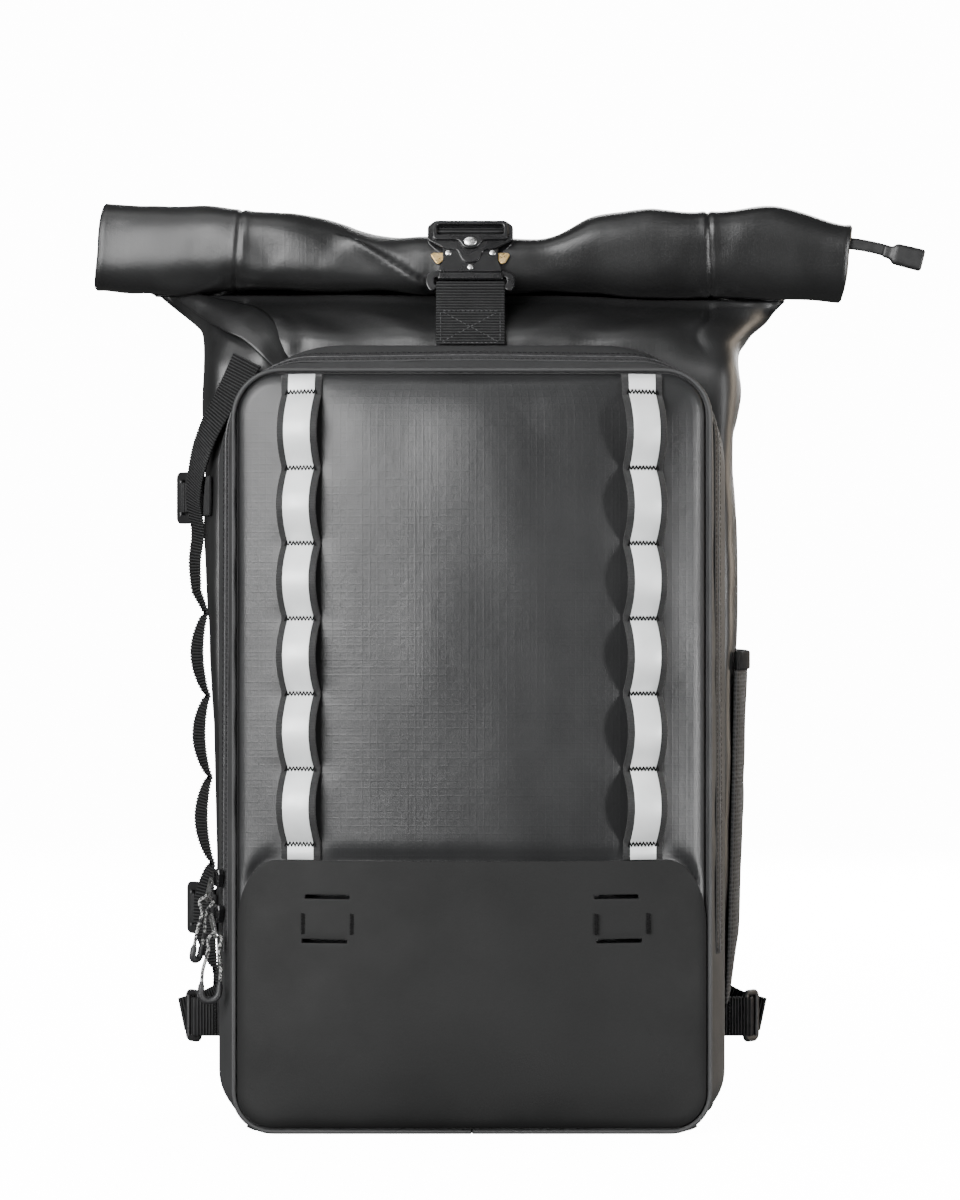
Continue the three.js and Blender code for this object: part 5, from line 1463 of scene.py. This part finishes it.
PULL_TAPE = ((210, 0), (236, 0), (252, 2.6), (266, 6.4))  # along x, and how far it has dropped
PULL_END = {"x": 257.5, "drop": 4.6, "length": 26, "slope": math.radians(14)}
PULL_PROFILE = (
    # share of the length, half height, half depth
    (0, 2.6, 1.4), (0.04, 3.6, 2.4), (0.2, 4.2, 2.8), (0.3, 6.2, 3.9),
    (0.36, 6.6, 4.1), (0.93, 6.9, 4.1), (0.98, 6.6, 3.8), (1, 5.8, 3.2),
)


def add_roll_pull():
    _, y, z = roll_point(np.array(210.0), np.array(172.0)) + 4.45 * BACK
    line = spline([(x, y, z - drop) for x, drop in PULL_TAPE], 40)
    pile = Pile().ribbon(stations_on(line, UP, -BACK), 7.5, 2.6, -1.3)
    share = np.linspace(0, 1, 40)
    keys, tall, deep = np.array(PULL_PROFILE).T
    tall, deep = curve_through(keys, tall, share), curve_through(keys, deep, share)
    angle = np.arange(28) * 2 * math.pi / 28
    way = np.array([math.cos(PULL_END["slope"]), 0, -math.sin(PULL_END["slope"])])
    ring = np.array([PULL_END["x"], y, z - PULL_END["drop"]]) + way * PULL_END["length"] * share[:, None]
    ring = ring[:, None] + np.cross(way, BACK) * (tall[:, None] * power(np.sin(angle), 0.42))[..., None]
    ring = ring + BACK * (deep[:, None] * power(np.cos(angle), 0.42))[..., None]
    pile.grid(ring, wrap=True, caps=True).piece(
        "roll_pull_tab", PLASTIC, "soft_rubber", replaces=["roll_pull"])


# Left side: webbing in loops, and compression straps

SIDE_WEB = {
    "y": -25, "tacks": (320, 268, 217, 163, 96), "lift": 6.5, "low": 86, "width": 20,
    "twist": (10, 26), "last": 44,
}
SIDE_WEB_TOP = (
    # x, y, z, and how far the strap has turned to face forward
    (-139, -60, 477, 78), (-150, -59.6, 456, 58), (-159.5, -57, 440, 46), (-166, -51, 426, 37),
    (-171.5, -40, 409, 30), (-174, -31, 390, 28), (-171.5, -26, 371, 26), (-173.5, -25, 352, 24),
    (-172.5, -25, 334, 20),
)
LOCK_LEVELS = {"upper": 393, "lower": 132}
# Ladder lock, and the webbing's way through it: along the lock and out of it
LOCK = {
    "front": 0, "swing": math.radians(34), "width": 19, "bar": (12.4, 2.0),
    "loop": (
        (10, -1.2), (7.6, 0.6), (7.4, 4.2), (9.2, 6.6), (12.2, 7.2),
        (15.4, 6.6), (17.6, 4.2), (17.4, 0.6), (15, -1.2),
    ),
}


def on_side(side, y, z, out):
    return np.array([side * (side_x(y, z) + out), y, z])


def add_side_webbing():
    tacks, y, low = SIDE_WEB["tacks"], SIDE_WEB["y"], SIDE_WEB["low"]
    flat, turned = SIDE_WEB["twist"]
    ends = (*tacks[1:], low)
    lifts = (SIDE_WEB["lift"],) * (len(tacks) - 1) + (0.0,)
    turns = (turned,) * (len(tacks) - 2) + (SIDE_WEB["last"], flat)
    rows = [*spline(SIDE_WEB_TOP, 60)]
    for z, below, lift, turn in zip(tacks, ends, lifts, turns):
        for t in np.linspace(0, 1, 15)[:-1]:
            bow = math.sin(math.pi * t) ** 0.8
            rows.append([*on_side(-1, y, lerp(z, below, t), 2 * GAP + lift * bow), lerp(flat, turn, bow)])
    rows.append([*on_side(-1, y, low, 2 * GAP), flat])
    rows = np.array(rows)
    angle = np.radians(rows[:, 3])
    across = np.column_stack([-np.sin(angle), np.cos(angle), 0 * angle])
    stations = stations_on(rows[:, :3], across, (-1.0, -0.2, 0))
    Pile().ribbon(stations, SIDE_WEB["width"], WEBBING["thick"], ribs=RIBS).piece(
        "side_loops", RIBBED, "webbing", replaces=["side_webbing"])
    pile = Pile()
    for level in (*tacks, low + 2):
        place = on_side(-1, y, level, 2 * GAP + WEBBING["thick"] + TACK_LIFT)
        pile.zigzag(place, BACK, UP, -RIGHT, 18, 2.6, 9, 0.36)
    pile.piece("side_loop_tacks", THREAD, "webbing")


def add_compression_straps():
    sine, cosine = math.sin(LOCK["swing"]), math.cos(LOCK["swing"])
    along, out = np.array([-sine, cosine, 0]), np.array([-cosine, -sine, 0])
    for name, z in LOCK_LEVELS.items():
        line = np.array([on_side(-1, y, z, 2 * GAP) for y in np.linspace(-50, 30, 40)])
        foot = on_side(-1, LOCK["front"], z, 3 * GAP + WEBBING["thick"] + 0.4)
        at = lambda d, h: foot + along * d + out * h
        loop = spline([at(*p) for p in LOCK["loop"]], 60)
        pile = Pile().ribbon(stations_on(line, UP, -RIGHT), WEBBING["width"], WEBBING["thick"], GAP, RIBS)
        round_bar = stations_on(loop, UP, loop - at(*LOCK["bar"]))
        pile.ribbon(round_bar, LOCK["width"], WEBBING["thick"], ribs=RIBS)
        pile.piece(f"side_strap_{name}", RIBBED, "webbing", replaces=[f"compression_strap_{name}"])


# Lower anchors: a webbing tab folded round the bar of a ring

ANCHOR = {"y": 72, "z": 57, "reach": 178, "fold": 3.1}


def add_anchors():
    reach, bend = ANCHOR["reach"], ANCHOR["fold"]
    turn = np.radians(np.linspace(-90, 90, 13))
    for name, side in SIDES.items():
        root = side_x(ANCHOR["y"], ANCHOR["z"]) + 3 * GAP
        path = [(x, -bend) for x in np.linspace(root, reach, 8)[:-1]]
        path += [(reach + bend * math.cos(a), bend * math.sin(a)) for a in turn]
        path += [(x, bend) for x in np.linspace(reach, root, 8)[1:]]
        line = np.array([(side * x, ANCHOR["y"] + dy, ANCHOR["z"]) for x, dy in path])
        out = np.cross(unit(np.gradient(line, axis=0)), UP * side)
        stations = (line, np.broadcast_to(UP * side, line.shape), out)
        Pile().ribbon(stations, WEBBING["width"], WEBBING["thick"], ribs=RIBS).piece(
            f"anchor_web_{name}", RIBBED, "webbing", replaces=[f"anchor_tab_{name}"])
        pile = Pile()
        for x in (root + 4, root + 8):
            place = np.array([side * x, ANCHOR["y"] - bend - WEBBING["thick"] - TACK_LIFT, ANCHOR["z"]])
            pile.zigzag(place, UP, RIGHT, -BACK, 21, 2.2, 9, 0.34)
        pile.piece(f"anchor_tacks_{name}", THREAD, "webbing")


# Right side: stretch mesh pocket with an elastic binding

MESH = {
    "low": 76, "high": 284, "front": -46, "back": 86, "swell": 8, "thick": 1.2, "seat": 0.8,
    "binding": 12,
}


def add_mesh_pocket():
    shares = np.linspace(0, 1, 45)
    depth = lerp(MESH["front"], MESH["back"], shares)
    foot = MESH["low"] + 26 * shares**2
    swell = MESH["swell"] * np.sin(math.pi * shares) ** 0.5
    lay = lambda heights, out: np.array([on_side(1, *row) for row in zip(depth, heights, out)])
    rows = [
        lay(lerp(foot, MESH["high"], h), MESH["seat"] + swell * min(1, h * 5) ** 0.7)
        for h in np.linspace(0, 1, 60)
    ]
    grid = np.array(rows)
    ripple = 0.5 * wobble(grid, 60, 41) * np.sin(math.pi * shares)[None]
    grid[..., 0] += MESH["thick"] - 0.5 + np.clip(ripple, -0.7, 0.7)
    mesh = Pile().sheet(grid, MESH["thick"]).piece(
        "mesh_side_pocket", MESH_CLOTH, "stretch_mesh", replaces=["mesh_pocket"])

    top = np.full_like(shares, MESH["high"] + GAP + MESH["binding"] / 2)
    line = resample(lay(top, MESH["seat"] + swell - 0.1), 60)
    Pile().ribbon(stations_on(line, UP, RIGHT), MESH["binding"], 2.4, ribs=RIBS).piece(
        "mesh_pocket_edge", RIBBED, "webbing", replaces=["mesh_binding"])


# Back: padded panel, shoulder straps and their webbing

PAD_CHANNELS = (146, 262, 372)
PAD = {"half": 134.0, "low": 42.0, "high": 442.0, "top": 40.0, "foot": 40.0, "thick": 9.0, "y": 98.3}
STRAP_ROWS = (
    # x, y, z, width and thickness
    (38, 101.5, 466, 52, 7), (42, 116.5, 440, 58, 11), (48, 130, 400, 62, 12), (58, 137, 340, 62, 12),
    (72, 134, 270, 58, 12), (86, 124, 205, 50, 11), (94, 116, 165, 36, 7),
)
STRAP_WEB = (
    (94, 116, 162), (104, 115.5, 135), (128, 114, 98), (152, 106, 74), (172, 95, 62), (190, 84.6, 57),
)
STRAP_WEB_ACROSS = ((1, 0, 0.3), (1, 0, 0.5), (0.7, 0, 0.7), (0.4, 0, 0.9), (0, 0, 1), (0, 0, 1))


def add_back_pad():
    low, high = PAD["low"], PAD["high"]
    bend = 1 - np.cos(np.linspace(0, math.pi / 2, 16))
    straight = np.linspace(low + PAD["foot"], high - PAD["top"], 90)[1:-1]
    heights = np.concatenate([low + PAD["foot"] * bend, straight, (high - PAD["top"] * bend)[::-1]])
    x = np.linspace(1, -1, 91)[None] * half_width(PAD, heights)[:, None]
    z = np.broadcast_to(heights[:, None], x.shape)
    crown = 1 - np.clip(1 - edge_distance(PAD, x, z) / 20, 0, 1) ** 2.4
    spine = 0.62 * np.exp(-((x / 15) ** 4))
    bars = sum(0.5 * bell(z - level - 0.0016 * x**2, 6) for level in PAD_CHANNELS)
    away = np.clip(1 - np.maximum(spine, bars), 0.3, 1)
    y = PAD["y"] + 0.4 + (PAD["thick"] - 0.4) * crown * away
    flat_back = np.stack([x, np.full_like(x, PAD["y"]), z], axis=-1)
    pad = Pile().sheet(np.stack([x, y, z], axis=-1), PAD["thick"], inner=flat_back, round_edge=0.08).piece(
        "back_cushion", AIR_MESH, "padding", replaces=["back_pad"])


def add_shoulder_straps():
    rows = spline(STRAP_ROWS, 90)
    half, thick = rows[:, 3:4] / 2, rows[:, 4:5] / 2
    angle = np.arange(48) * 2 * math.pi / 48
    wide, tall = half * power(np.cos(angle), 0.55), thick * power(np.sin(angle), 0.75)
    # pressed in along the stitched edge
    tall = tall * (1 - 0.3 * bell(half - np.abs(wide) - 7, 1.6))
    for name, side in SIDES.items():
        line = rows[:, :3] * (side, 1, 1)
        along = unit(np.gradient(line, axis=0))
        across = unit(np.cross(BACK, along))
        out = np.cross(along, across)
        ring = line[:, None] + wide[..., None] * across[:, None] + tall[..., None] * out[:, None]
        strap = Pile().grid(ring, wrap=True, caps=True, flip=True).piece(
            f"shoulder_pad_{name}", AIR_MESH, "padding", replaces=[f"shoulder_strap_{name}"])
        pile = Pile()
        for way in (-1, 1):
            pile.tube(line + across * way * (half - 0.4), 1.9, sides=10)
        pile.piece(f"shoulder_binding_{name}", RIBBED, "webbing")

        web = spline(np.array(STRAP_WEB) * (side, 1, 1), 60)
        turn = np.array(STRAP_WEB_ACROSS) * (side, 1, 1)
        turn = interp_rows(np.linspace(0, len(turn) - 1, 60), np.arange(len(turn)), turn)
        Pile().ribbon(stations_on(web, turn, BACK), WEBBING["width"] - 3, WEBBING["thick"], ribs=RIBS).piece(
            f"shoulder_web_{name}", RIBBED, "webbing", replaces=[f"strap_webbing_{name}"])


# Hard pieces keep their solids, with eased edges

HARD = {
    "ladder_lock_upper": (PLASTIC, 0.6), "ladder_lock_lower": (PLASTIC, 0.6),
    "anchor_ring_left": (PLASTIC, 0.6), "anchor_ring_right": (PLASTIC, 0.6),
    "zip_slider_upper": (BLACK_METAL, 0.25), "zip_slider_lower": (BLACK_METAL, 0.25),
    "zip_tab_upper": (STEEL, 0.2), "zip_tab_lower": (STEEL, 0.2),
    "hook_rail": (PLASTIC, 0.8),
}


def dress_hard_pieces():
    for name, (finish, bevel) in HARD.items():
        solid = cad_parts[name]
        for slot in solid.material_slots:
            slot.material = finish
        weld = solid.modifiers.new("weld", "WELD")
        weld.merge_threshold = 0.00001
        ease_edges(solid, "eased_edges", bevel, 3, 32)


add_camera()
add_zip_pulls()
add_stage()
add_lights()
shell = add_body()
add_base()
add_pocket_face()
add_apron()
add_gusset()
add_ladders()
add_buckle_straps(shell)
add_buckle()
add_roll_pull()
add_side_webbing()
add_compression_straps()
add_anchors()
add_mesh_pocket()
add_back_pad()
add_shoulder_straps()
dress_hard_pieces()
